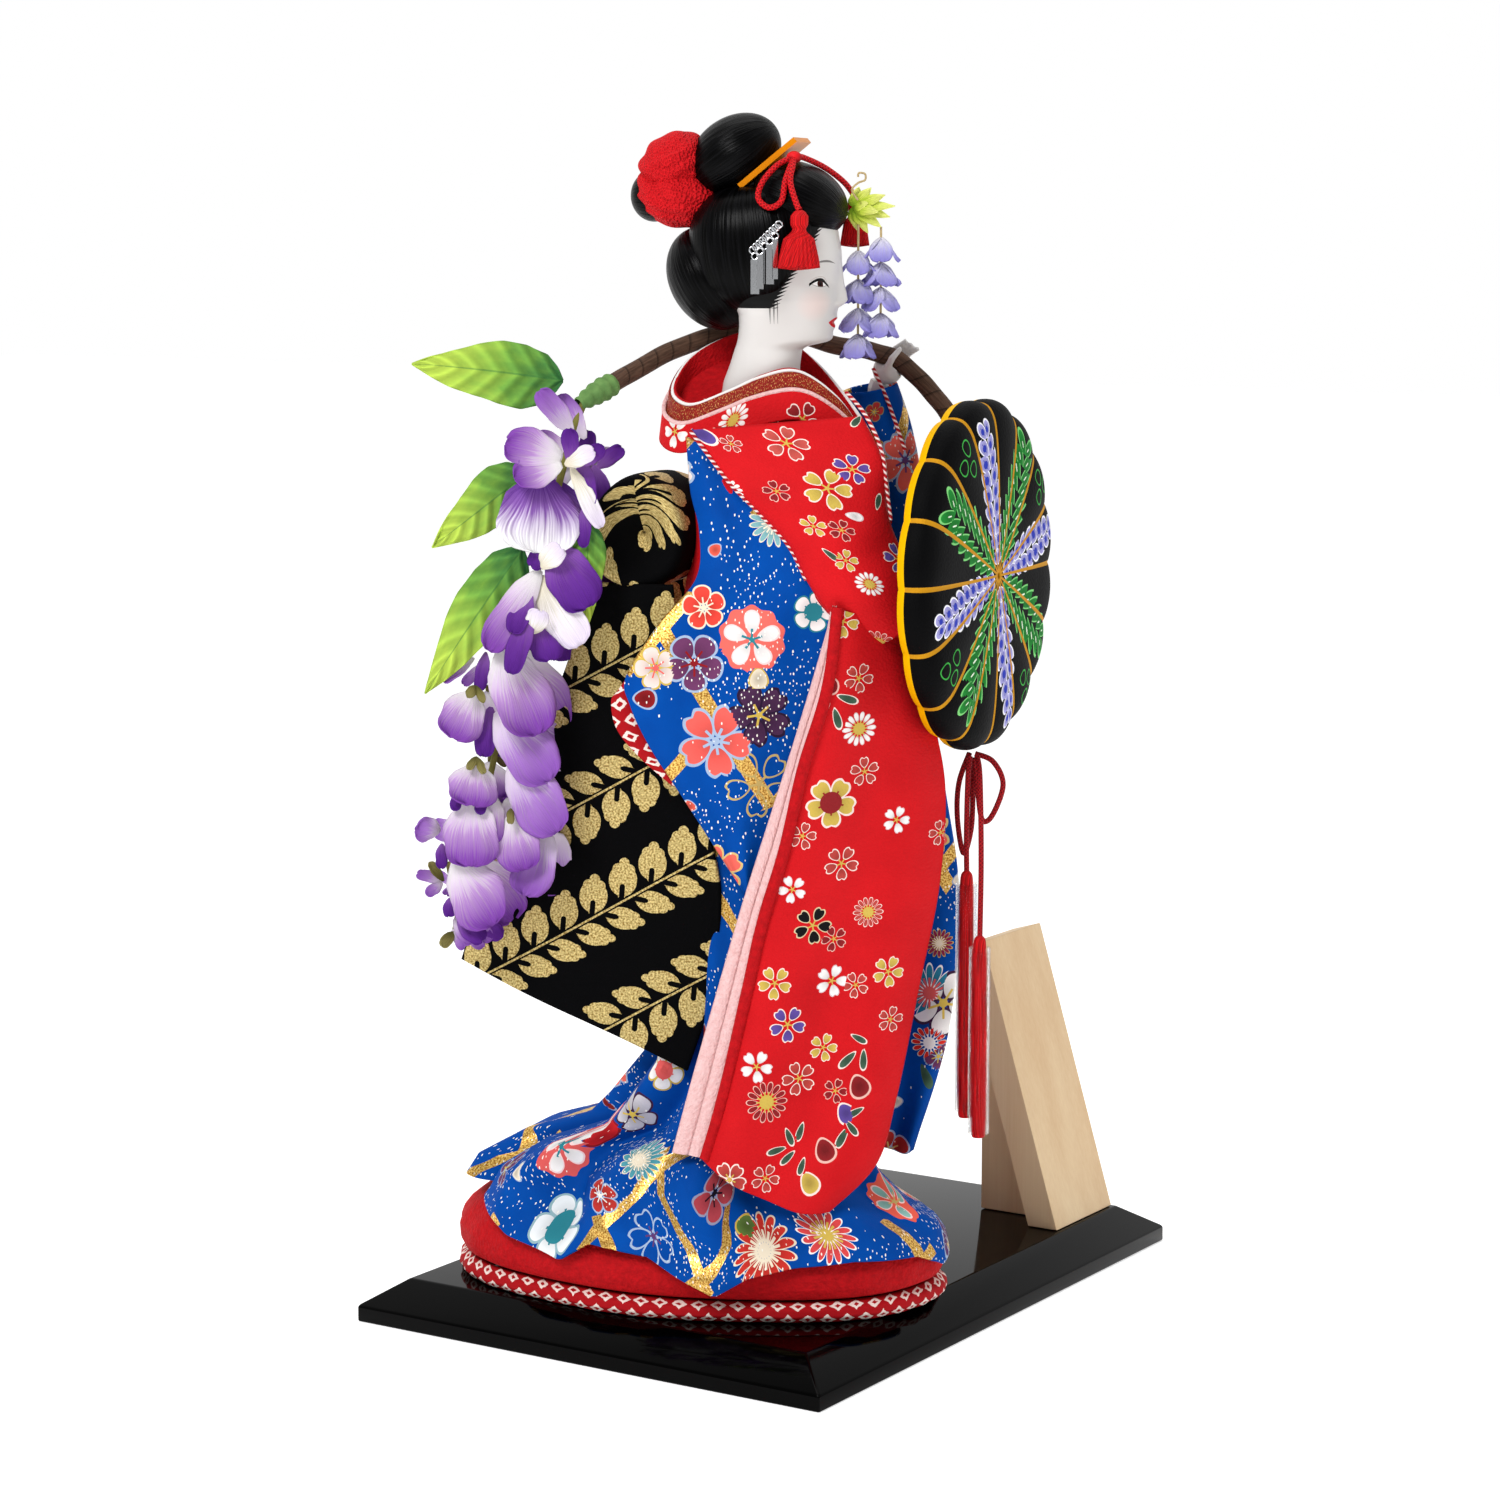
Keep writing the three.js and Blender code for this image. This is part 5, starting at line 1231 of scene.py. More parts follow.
def painted_face():
    """White gofun with painted eyes, brows, lips, blush and fine hair strokes at the temples."""
    material, add, shader = new_material("painted_gofun", Roughness=0.32)
    part = add("SeparateXYZ", add("UVMap")).outputs
    u, v = part[0], part[1]
    side = add("ABSOLUTE", u)
    du = add("DIVIDE", add("SUBTRACT", side, 17.0), 9.0)
    dv = add("DIVIDE", add("SUBTRACT", v, 384.0), 7.0)
    far = add("MULTIPLY_ADD", du, du, add("MULTIPLY", dv, dv))
    blush = add("MapRange", far, 0.0, 1.0, 0.32, 0.0)
    colour = add("Mix.RGBA", blush, linear("#d8d5d2"), linear("#f0c4bb"))
    e = add("SUBTRACT", side, 14.6)
    f = add("MULTIPLY_ADD", e, -0.06, add("SUBTRACT", v, 391.6))
    bend = add("DIVIDE", e, 4.9)
    bend = add("SUBTRACT", 1.0, add("MULTIPLY", bend, bend))
    top = add("MULTIPLY", bend, 1.75)
    low = add("MULTIPLY", bend, -1.0)
    below = add("LESS_THAN", f, top)
    above = add("GREATER_THAN", f, low)
    eye = add("MULTIPLY", below, above)
    ex = add("ADD", e, 0.3)
    ey = add("SUBTRACT", f, 0.25)
    ring = add("MULTIPLY_ADD", ex, ex, add("MULTIPLY", ey, ey))
    iris = add("MULTIPLY", eye, add("LESS_THAN", ring, 3.6))
    pupil = add("MULTIPLY", eye, add("LESS_THAN", ring, 0.6))
    gap = add("ABSOLUTE", add("SUBTRACT", f, top))
    lid = add("LESS_THAN", gap, 0.55)
    lid = add("MULTIPLY", lid, add("GREATER_THAN", bend, -0.35))
    fold = add("ABSOLUTE", add("SUBTRACT", add("SUBTRACT", f, top), 1.15))
    fold = add("LESS_THAN", fold, 0.13)
    fold = add("MULTIPLY", fold, add("GREATER_THAN", bend, -0.1))
    under = add("LESS_THAN", add("ABSOLUTE", add("SUBTRACT", f, low)), 0.14)
    under = add("MULTIPLY", under, add("GREATER_THAN", bend, 0.0))
    bow = add("DIVIDE", add("SUBTRACT", side, 12.5), 6.5)
    bow = add("SUBTRACT", 1.0, add("MULTIPLY", bow, bow))
    brow = add("MULTIPLY_ADD", bow, 1.1, 399.2)
    brow = add("ABSOLUTE", add("SUBTRACT", v, brow))
    brow = add("LESS_THAN", brow, add("MULTIPLY", bow, 0.42))
    lip = add("DIVIDE", side, 6.4)
    lip = add("SUBTRACT", 1.0, add("MULTIPLY", lip, lip))
    notch = add("MULTIPLY", add("SUBTRACT", 0.9, side, use_clamp=True), 0.5)
    lip_top = add("SUBTRACT", add("MULTIPLY_ADD", lip, 2.1, 376.8), notch)
    lip_low = add("MULTIPLY_ADD", lip, -2.2, 377.0)
    mouth = add("MULTIPLY", add("LESS_THAN", v, lip_top), add("GREATER_THAN", v, lip_low))
    comb_line = add("FRACT", add("MULTIPLY_ADD", side, 0.35, add("MULTIPLY", v, 0.8)))
    jag = add("MULTIPLY", add("ABSOLUTE", add("SUBTRACT", comb_line, 0.5)), 5.0)
    over_ear = add("SUBTRACT", v, 383.5)
    line = add("MULTIPLY_ADD", add("MULTIPLY", over_ear, over_ear), -0.0072, 31.4)
    line = add("ADD", add("MULTIPLY_ADD", over_ear, -0.44, line), jag)
    hairline = add("MULTIPLY", add("GREATER_THAN", side, line), add("GREATER_THAN", over_ear, -1.0))
    stroke = add("ABSOLUTE", add("SUBTRACT", add("FRACT", add("MULTIPLY", side, 0.8)), 0.5))
    stroke = add("LESS_THAN", stroke, add("MapRange", v, 376.0, 384.0, 0.02, 0.28))
    stroke = add("MULTIPLY", stroke, add("GREATER_THAN", side, 31.8))
    stroke = add("MULTIPLY", stroke, add("LESS_THAN", side, 35.0))
    stroke = add("MULTIPLY", stroke, add("LESS_THAN", v, 385.0))
    stroke = add("MULTIPLY", stroke, add("GREATER_THAN", v, 376.5))
    for mask, shade, most in ((fold, "#b9aaa2", 0.7), (eye, "#f6f4f2", 1), (iris, "#3a1710", 1),
                              (pupil, "#050404", 1), (under, "#8a7f7a", 0.7), (lid, "#0c0a0a", 1),
                              (brow, "#55504e", 0.8), (mouth, "#d2140f", 1), (stroke, "#4a4745", 0.75),
                              (hairline, "#060606", 1)):
        colour = add("Mix.RGBA", add("MULTIPLY", mask, most), colour, linear(shade))
    feed(shader, Base_Color=colour, Roughness=add("MapRange", eye, 0.0, 1.0, 0.34, 0.08))
    return material


FACE = painted_face()
GOFUN = new_material("white_gofun", Roughness=0.34, Base_Color=linear("#d8d5d2"))[0]
head = grid_piece("painted_head", head_form, 220, 190, closed=True, chart=face_chart)
finish_mesh(head, FACE, "head", "head")

# %% [markdown]
# ## Hair
# The hair is dressed in lobes of silk: side wings, a tail at the nape, a front roll and a topknot bound
# with red crepe. Strands could be hair curves, but dressed hair shows as a smooth shell with a combed
# sheen. So a lobe is a sphere drawn out to an egg, and its strands run from pole to pole.


# %% Hair
def hair_silk():
    """Black silk strands: fine lines along the strand, with a soft sheen."""
    material, add, shader = new_material("black_silk_hair", Roughness=0.3, Specular_IOR_Level=0.06)
    uv = add("UVMap")
    drawn = add("Mapping", uv, None, None, (150.0, 3.0, 1.0))
    strand = add("TexNoise.2D", drawn, 1.0, 2.0)
    broad = add("TexNoise.2D", add("Mapping", uv, None, None, (40.0, 2.0, 1.0)), 1.0, 2.0)
    light = add("MapRange", strand, 0.42, 0.7)
    colour = add("Mix.RGBA", light, linear("#000000"), linear("#0a0a0c"))
    high = add("MULTIPLY_ADD", broad, 1.5, strand)
    feed(shader, Base_Color=colour, Normal=add("Bump", 0.55, 0.0004, None, high))
    return material


HAIR = hair_silk()
FACE_CUTS = [((0.896, 0, -0.444), (9.2, 0, 384.5)), ((0.858, 0, -0.514), (18.6, 0, 402))]


def lobe(name, centre, half, tilt, pole, finish, *nodes, shape=None, cuts=()):
    """An egg of hair on the head. Its poles lie along X, Y or Z of its own before it is tilted. A cut
    is a plane, by its normal and a point on it, that the egg is pressed flat against."""
    bpy.ops.object.select_all(action="DESELECT")
    bpy.ops.mesh.primitive_uv_sphere_add(segments=128, ring_count=72, radius=1)
    obj = bpy.context.object
    obj.name = name
    p = read(obj.data.vertices, "co", 3, float)
    p = {"Z": p, "Y": p[:, [0, 2, 1]] * (1, 1, -1), "X": p[:, [2, 1, 0]] * (1, 1, -1)}[pole]
    if shape:
        p = shape(p)
    p = p * half
    c, s = math.cos(math.radians(tilt)), math.sin(math.radians(tilt))
    p = np.stack([c * p[:, 0] - s * p[:, 2], p[:, 1], s * p[:, 0] + c * p[:, 2]], 1) + centre
    for away, at in cuts:
        deep = (p - at) @ np.asarray(away)
        p = p - np.asarray(away) * (1.6 * np.logaddexp(0, deep / 1.6))[:, None]
    obj.data.vertices.foreach_set("co", to_row(on_head(p)).astype(np.float32).ravel())
    finish_mesh(obj, finish, "head", *nodes, slot=None if nodes else "hair")


def squared(p):
    """A sphere drawn out towards a cube."""
    return p / (np.abs(p) ** 2.6).sum(1)[:, None] ** (1 / 2.6)


def crinkled(p):
    """A sphere of crepe bunched into shallow folds."""
    x, y, z = p.T
    return p * (1 + 0.025 * np.sin(9 * x + 5 * z) + 0.02 * np.sin(13 * z - 7 * y))[:, None]


lobe("side_hair", (-2.5, 0, 405.5), (27, 25.5, 25), 8, "Z", HAIR, "hair_cap", shape=squared, cuts=FACE_CUTS)
lobe("nape_hair", (-22, 0, 393.5), (16.5, 20.5, 21), 30, "Z", HAIR, "hair_back")
lobe("front_hair", (12, 0, 423.5), (19.5, 21.5, 14), -22, "X", HAIR, "hair_front")
lobe("topknot_hair", (-13, 0, 440.5), (19, 17, 14.5), 33, "X", HAIR, "hair_bun")
lobe("topknot_tip", (-45, 0, 425), (9, 12, 10), 0, "X", HAIR)
TEGARA = plain_crepe("red_kanoko", "#b80d14", "#dc1a22", 55.0, 1.0, 0.0014)
lobe("topknot_wrap_upper", (-36, 0, 437), (15, 16.5, 12), 25, "X", TEGARA, "bun_wrap", shape=crinkled)
lobe("topknot_wrap_lower", (-35.5, 0, 424.5), (18, 17, 11.5), -12, "X", TEGARA, shape=crinkled)

# %% [markdown]
# ## Hair ornaments
# An amber comb stands edge-on in the topknot. A braided red cord is knotted over it, with a tassel on
# each end. The braid is drawn on a plain tube, because its strands are only about a millimetre wide.


# %% Hair ornaments
def braid(name, dark, light, pitch, ways=(1.0, -1.0)):
    """Braided silk cord: sets of strands that cross, drawn on a map of millimetres, with painted shade in
    the grooves between them. One is a twist.
    """
    material, add, shader = new_material(name, Roughness=0.5)
    part = add("SeparateXYZ", add("UVMap")).outputs
    waves = []
    for way in ways:
        run = add("MULTIPLY_ADD", part[0], way * 0.9, part[1])
        waves.append(add("SINE", add("MULTIPLY", run, 2 * math.pi / pitch)))
    high = add("MAXIMUM", waves[0], waves[-1])
    # The colour follows the strands' height. The grooves between crossing strands get painted shade and the
    # raised strands painted light. On the twist the two colours are also its own red and white threads.
    shade = add("MapRange", high, -0.2, 1.0)
    colour = add("Mix.RGBA", shade, linear(dark), linear(light))
    feed(shader, Base_Color=colour, Normal=add("Bump", 0.6, 0.0003, None, high))
    return material


def thread_silk(name, dark, light):
    """Tassel threads that run down the piece, with painted shade in the lines between them."""
    material, add, shader = new_material(name, Roughness=0.55)
    part = add("Mapping", add("UVMap"), None, None, (2.2, 0.05, 1.0))
    line = add("TexNoise.2D", part, 1.0, 2.0)
    # The threads' colour follows the noise of their bump. They are darker where it sinks between threads,
    # as painted shade, and lighter on top, as painted light.
    shade = add("MapRange", line, 0.35, 0.65)
    colour = add("Mix.RGBA", shade, linear(dark), linear(light))
    feed(shader, Base_Color=colour, Normal=add("Bump", 0.7, 0.0004, None, line))
    return material


RED_BRAID = braid("red_braid", "#8c0a10", "#d8161e", 1.7)
RED_THREAD = thread_silk("red_thread", "#8f0509", "#dc1218")
AMBER = new_material("amber_comb", Roughness=0.3, Base_Color=linear("#d07c08"), Specular_IOR_Level=0.05)[0]
SILVER = new_material("silver", Metallic=1.0, Roughness=0.12, Base_Color=linear("#d4d6d9"))[0]


def cord_run(name, line, radius, finish, body, *nodes, slot="red"):
    """A cord of that radius along listed figure points."""
    rows = [(*p, radius) for p in along(line, np.linspace(0, 1, 6 * len(line)))]
    piece = grid_piece(name, tube(rows, across=(0.3, 1, 0.2)), 12, 20 * len(line), closed=True)
    return finish_mesh(piece, finish, body, *nodes, slot=slot)


def tassel(name, top, bottom, neck, skirt, finish, body, *nodes, lean=(0, 0), slot="red"):
    """A thread tassel between two heights: a round cap, a tied neck and a skirt of threads."""
    long = top[2] - bottom

    def place(s, t):
        angle = 2 * math.pi * s
        radius = np.interp(t, [0, 0.04, 0.12, 0.26, 0.33, 0.38, 0.5, 0.8, 0.97, 1],
                           [0.05, 0.6 * neck, neck, neck, 0.75 * neck, 0.85 * neck, 0.5 * (neck + skirt),
                            0.92 * skirt, skirt, 0.1])
        radius = radius * (1 + 0.06 * np.sin(26 * angle) * ease(t, 0.35, 0.5))
        ragged = 0.02 * np.sin(17 * angle) * ease(t, 0.9, 1)
        return np.stack([top[0] + lean[0] * t + radius * np.cos(angle),
                         top[1] + lean[1] * t + 0.8 * radius * np.sin(angle),
                         top[2] - long * (t + ragged)], -1)
    piece = grid_piece(name, place, 110, 60, closed=True)
    return finish_mesh(piece, finish, body, *nodes, slot=slot)


paint(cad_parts["hair_comb"], AMBER)
knot = np.array([13, -13, 439.4])
cord_run("hair_cord_near",
         on_head([knot, (13.5, -18, 436), (13.5, -22, 430), (16.5, -25, 422), (18, -26, 419.5)]), 1.15,
         RED_BRAID, "head", "hair_cord")
cord_run("hair_cord_loop",
         on_head([knot, (7.5, -17, 436.5), (2.5, -21, 430), (1.5, -23.5, 424), (6, -25, 420.5),
                  (10.5, -24, 423), (11.5, -21, 431), knot]), 1.15, RED_BRAID, "head")
cord_run("hair_cord_far",
         on_head([knot, (15, -7, 439.4), (21.5, 3, 435.6), (27.5, 11, 430), (30.5, 16.5, 424.5),
                  (30.5, 17, 423)]), 1.15, RED_BRAID, "head")
lobe("hair_cord_knot", knot, (3, 2.4, 2.3), 0, "Y", RED_BRAID)
tassel("hair_tassel_near_threads", on_head((18, -26, 420)), 397.5, 3.4, 7.8, RED_THREAD, "head",
       "hair_tassel_near", lean=(-0.5, -1))
tassel("hair_tassel_far_threads", on_head((30.5, 17, 424.5)), 405.5, 2.8, 5.4, RED_THREAD, "head",
       "hair_tassel_far")
# %% [markdown]
# ### Twisted piping
# A thin red and white twist finishes the robe's edges, and a padded roll the edge of the sleeve's bag.
# They are tubes along the cloth's own edges, or along the photograph's pixels where the cloth has none.

# %% Twisted piping
TWIST = braid("red_white_twist", "#a80e16", "#f4e6e2", 2.6, ways=(0.9,))
ROBE_FRONT = from_picture((846, 392, -22), (866, 416, -28), (882, 452, -32), (887, 490, -34),
                          (891, 520, -35))
CUFF = from_picture((873, 368, 28), (888, 402, 27), (905, 450, 26))
for name, line in (("robe_back_piping", UPPER_LEFT[:5] + (0, -0.8, 0)), ("robe_front_piping", ROBE_FRONT),
                   ("cuff_piping", CUFF)):
    edging(name, line, 0.75, TWIST, "red")
edging("sleeve_edge_roll", [[x + 1.4, y - 1.6, z] for x, y, z in BAG_LEFT], 2.3, RED_CREPE, "red")

# %% [markdown]
# ### Silver pin
# A row of linked rings hangs on the pin, and thin strips dangle from it. Each strip is turned another
# way, because polished metal flashes only where it faces the light.


# %% Silver pin
def joined(pieces, name):
    """Several pieces as one, with their places applied."""
    bpy.ops.object.select_all(action="DESELECT")
    for piece in pieces:
        piece.select_set(True)
    bpy.context.view_layer.objects.active = pieces[0]
    bpy.ops.object.transform_apply(location=True, rotation=True, scale=True)
    bpy.ops.object.join()
    bpy.context.object.name = name
    return bpy.context.object


def ring(place, radius, tilt):
    """A silver ring that faces the viewer."""
    bpy.ops.object.select_all(action="DESELECT")
    bpy.ops.mesh.primitive_torus_add(location=to_row(on_head(place)),
                                     rotation=(math.pi / 2, tilt, SIDE_TURN), major_radius=radius,
                                     minor_radius=0.0003, major_segments=20, minor_segments=8)
    return bpy.context.object


rings = [ring((1 + 1.25 * k, -30.6, 404.7 + 1.18 * k), 0.0013, 0.5 * (-1) ** k) for k in range(9)]
rings.append(grid_piece("pin_bar",
                        tube([(*on_head(q), 0.6)
                              for q in ((1, -28, 404.5), (6, -28, 409.3), (11, -28, 414))],
                             across=(0, 1, 0)), 10, 12, closed=True))
pin = joined(rings, "silver_pin_rings")
finish_mesh(pin, SILVER, "silver_hairpin", "silver_pin")
strips = []
for k, (wide, long, yaw) in enumerate(((3.3, 13, 10), (2.8, 13, -25), (2.6, 13, 75), (3.0, 15, -12),
                                       (2.4, 15, 35))):
    hang = (2 + 1.95 * k, -31.6, 402.4 + 1.9 * k)
    strips.append(ring(hang, 0.0012, 0.3))
    bpy.ops.mesh.primitive_cube_add(
        size=1, location=to_row(on_head((hang[0], hang[1], hang[2] - 1.2 - long / 2))),
        rotation=(0, 0, SIDE_TURN + math.radians(yaw)), scale=(wide / 1000, 0.0003, long / 1000))
    strips.append(bpy.context.object)
fringe = joined(strips, "silver_fringe_strips")
finish_mesh(fringe, SILVER, "fringe", "silver_fringe")
bpy.ops.object.shade_smooth_by_angle(angle=math.radians(30))

# %% [markdown]
# ## Bark and silk
# A branch wrapped in brown paper goes over her shoulder. At its end green tape binds on a hanging stem
# of silk wisteria, with broad petals that fade from purple at the lip to white at the throat. The dye
# runs along the petal, so its streaks are noise on a fan of lines and not on straight ones.


# %% Bark and silk
def bark():
    """Brown paper wound round the branch, with dark seams."""
    material, add, shader = new_material("brown_paper_bark", Roughness=0.7)
    uv = add("UVMap")
    part = add("SeparateXYZ", uv).outputs
    wound = add("FRACT", add("MULTIPLY_ADD", part[0], 0.05, add("DIVIDE", part[1], 8.0)))
    seam = add("MapRange", wound, 0.0, 0.16, 0.25, 1.0)
    long_grain = add("TexNoise.2D", add("Mapping", uv, None, None, (1.2, 0.12, 1.0)), 1.0, 3.0)
    colour = add("Mix.RGBA", long_grain, linear("#2c1d16"), linear("#6d5242"))
    colour = add("Mix.RGBA", 1.0, colour, seam, blend_type="MULTIPLY")
    feed(shader, Base_Color=colour, Normal=add("Bump", 0.6, 0.0004, None, long_grain))
    return material


def silk_petal(name, base, middle, lip):
    """A silk petal that changes colour from its base to its lip, with the dye drawn out in streaks."""
    material, add, shader = new_material(name, Roughness=0.8, Specular_IOR_Level=0.05)
    uv = add("UVMap")
    part = add("SeparateXYZ", uv).outputs
    fan = add("DIVIDE", part[0], add("ADD", part[1], 0.35))
    streak = add("TexNoise.2D", add("CombineXYZ", add("MULTIPLY", fan, 16.0),
                                    add("MULTIPLY", part[1], 1.2)), 1.0, 3.0)
    where = add("MULTIPLY_ADD", streak, 0.5, part[1])
    low = add("MapRange", where, 0.35, 0.8)
    high = add("MapRange", where, 0.7, 1.15)
    colour = add("Mix.RGBA", low, linear(base), linear(middle))
    colour = add("Mix.RGBA", high, colour, linear(lip))
    shade = add("MapRange", streak, 0.3, 0.7, 0.82, 1.08)
    colour = add("Mix.RGBA", 1.0, colour, shade, blend_type="MULTIPLY")
    feed(shader, Base_Color=colour, Normal=add("Bump", 0.6, 0.0006, None, streak))
    return material


def silk_leaf(name, base, middle, lip):
    """A pressed silk leaf: dark at the stalk and bright at the tip, quilted between slanting ribs, with
    painted light and shade across each quilted puff.
    """
    material, add, shader = new_material(name, Roughness=0.7, Specular_IOR_Level=0.08)
    uv = add("UVMap")
    part = add("SeparateXYZ", uv).outputs
    across = add("ABSOLUTE", part[0])
    cloud = add("TexNoise.2D", add("Mapping", uv, None, None, (3.0, 7.0, 1.0)), 1.0, 4.0)
    where = add("MULTIPLY_ADD", cloud, 0.35, part[1])
    low = add("MapRange", where, 0.2, 0.55)
    high = add("MapRange", where, 0.5, 1.0)
    colour = add("Mix.RGBA", low, linear(base), linear(middle))
    colour = add("Mix.RGBA", high, colour, linear(lip))
    # Each quilted rib is lighter on one slope and darker on the other. This is painted light and shade for
    # the quilting, not the silk's own colour.
    rib = add("SINE", add("MULTIPLY", add("MULTIPLY_ADD", across, -0.16, part[1]), 46.0))
    shade = add("MapRange", rib, -1.0, 1.0, 0.8, 1.1)
    colour = add("Mix.RGBA", 1.0, colour, shade, blend_type="MULTIPLY")
    spine = add("MULTIPLY", add("LESS_THAN", across, 0.03), 0.5)
    colour = add("Mix.RGBA", spine, colour, linear(base))
    feed(shader, Base_Color=colour, Normal=add("Bump", 0.6, 0.001, None, rib))
    return material


BARK = bark()
LEAF = silk_leaf("silk_leaf", "#35703a", "#74a642", "#b4d050")
SILKS = {
    "throat": silk_petal("pale_throat_silk", "#f6f2f2", "#bd97cc", "#7d44a4"),
    "light": silk_petal("light_violet_silk", "#eee2f0", "#ab82c6", "#8a56b0"),
    "deep": silk_petal("deep_violet_silk", "#8e5eae", "#6c3896", "#562484"),
    "banner": silk_petal("white_lip_silk", "#653494", "#9266b2", "#fbfafb"),
    "cream": silk_petal("cream_silk", "#efe6cc", "#f4f0ec", "#e4d8ec"),
    "sepal": silk_petal("sepal_silk", "#5c5a30", "#7c7440", "#8c8450"),
}
GREEN_TAPE = plain_crepe("green_tape", "#4a703a", "#749a58", 0.6, 0.5)
STALK = plain_crepe("olive_stalk", "#5a5a2c", "#85803f", 0.6, 0.5)

# %% [markdown]
# ### Branch and stem
# Branch, stem and tape are tubes along listed points. A slow ripple in the radius makes the branch
# knobbly, which bump alone would not show at its outline.

# %% Branch and stem
BRANCH = [[-44, -9, 353], [-30, 6, 361], [-14, 17, 368], [4, 24, 372], [21, 28, 373], [41, 30, 367.5],
          [57, 31, 364.5], [68, 32, 360.5], [78, 32, 351.5], [87, 31, 341], [94, 30, 325], [97, 29, 302]]
STEM = [[-52.5, -15, 350], [-58, -20, 336], [-66, -25, 306], [-74, -28, 274], [-82, -29, 243],
        [-89, -29, 210], [-96, -29, 180], [-103, -28, 152], [-105, -28, 142]]


def knobbly(s, t):
    return 0.35 * np.sin(40 * t + 2 * math.pi * s) * np.sin(23 * t)


branch = grid_piece("wrapped_branch", tube([(*p, 3.6) for p in BRANCH], across=(0.2, 1, 0), fold=knobbly),
                    24, 160, closed=True)
finish_mesh(branch, BARK, "figure", "branch")
stem = grid_piece("blossom_stem", tube([(*p, 1.5 - 0.06 * k) for k, p in enumerate(STEM)],
                                       across=(1, 0, 0)), 14, 90, closed=True)
finish_mesh(stem, STALK, "figure", "wisteria_stem")
TAPE = [[-56, -17.5, 346, 2.4], [-52, -14.5, 348.5, 3.8], [-47, -11, 351.4, 4.6], [-43, -8, 353.6, 4.2]]
tape = grid_piece("green_binding", tube(TAPE, across=(0.2, 1, 0), fold=lambda s, t: 0.3 * np.sin(30 * t)),
                  24, 40, closed=True)
finish_mesh(tape, GREEN_TAPE, "figure", "branch_tape")


# %% [markdown]
# ### Leaves
# A leaf is stiffened silk, bowed along its spine and ruffled at its edge. It could be drawn as a flat
# shape and bent, but a grid keeps its UV map, so its formula cuts the outline, bows and droops it.


# %% Leaves
def blade(start, end, face, half, droop, cup, outline, ruffle=0.0):
    """A place function for a leaf or petal from start to end, its face turned to the given way."""
    start, end = np.asarray(start, float), np.asarray(end, float)
    way = unit(end - start)
    face = np.asarray(face, float)
    face = unit(face - way * (face @ way))
    across = np.cross(way, face)

    def place(s, t):
        x = 2 * s - 1
        wide = half * np.interp(t, *np.transpose(outline))
        lift = cup * (1 - x * x) * np.sin(math.pi * np.clip(t, 0.02, 1) ** 0.8)
        phase = 3 * float(start[0] + start[2])
        wave = np.sin(7 * x + 5 * t + phase) * np.abs(x) ** 1.5 + 0.5 * np.sin(4 * x - 6 * t + phase)
        lift = lift + ruffle * t * wave
        wide = wide * (1 + 0.05 * np.sin(11 * t + phase + 2 * np.sign(x)))
        p = start + (end - start) * t[:, None] + across * (wide * x)[:, None] + face * lift[:, None]
        p[:, 2] -= droop * t * t
        return p
    return place


def unit_chart(s, t, points):
    return 2 * s - 1, t


def silk_blade(name, finish, thick, grid, *shape):
    """A blade of stiffened silk of that thickness in millimetres, not yet on a body."""
    piece = grid_piece(name, blade(*shape), *grid, chart=unit_chart)
    modify(piece, "SOLIDIFY", thickness=thick / 1000, offset=0)
    paint(piece, finish)
    return piece


LEAF_OUTLINE = [(0, 0.04), (0.04, 0.4), (0.12, 0.8), (0.26, 1), (0.42, 0.97), (0.58, 0.82), (0.74, 0.58),
                (0.88, 0.3), (1, 0.01)]
LEAVES = [((563, 381, -22), (412, 361, -32), (0, -1, 0.25), 12.3, 1),
          ((531, 470, -28), (432, 545, -36), (0.1, -1, 0), 10.5, 1),
          ((523, 548, -34), (425, 691, -40), (0, -1, 0.1), 11, 1),
          ((588, 520, -36), (584, 633, -40), (0.2, -1, 0), 7, 1)]
for k, (start, end, face, half, droop) in enumerate(LEAVES, 1):
    leaf = silk_blade(f"silk_leaf_{k}", LEAF, 0.5, (24, 60), *from_picture(start, end), face, half, droop,
                      2.2, LEAF_OUTLINE, 0.8)
    finish_mesh(leaf, LEAF, "figure", f"leaf_{k}")

# %% [markdown]
# ### Petals
# Each petal is set by the pixels of its base and tip in the photograph, with its half width and its
# depth in millimetres and the silk that it is cut from. The same petals again, turned about the
# stem, fill the side that the photograph doesn't show.

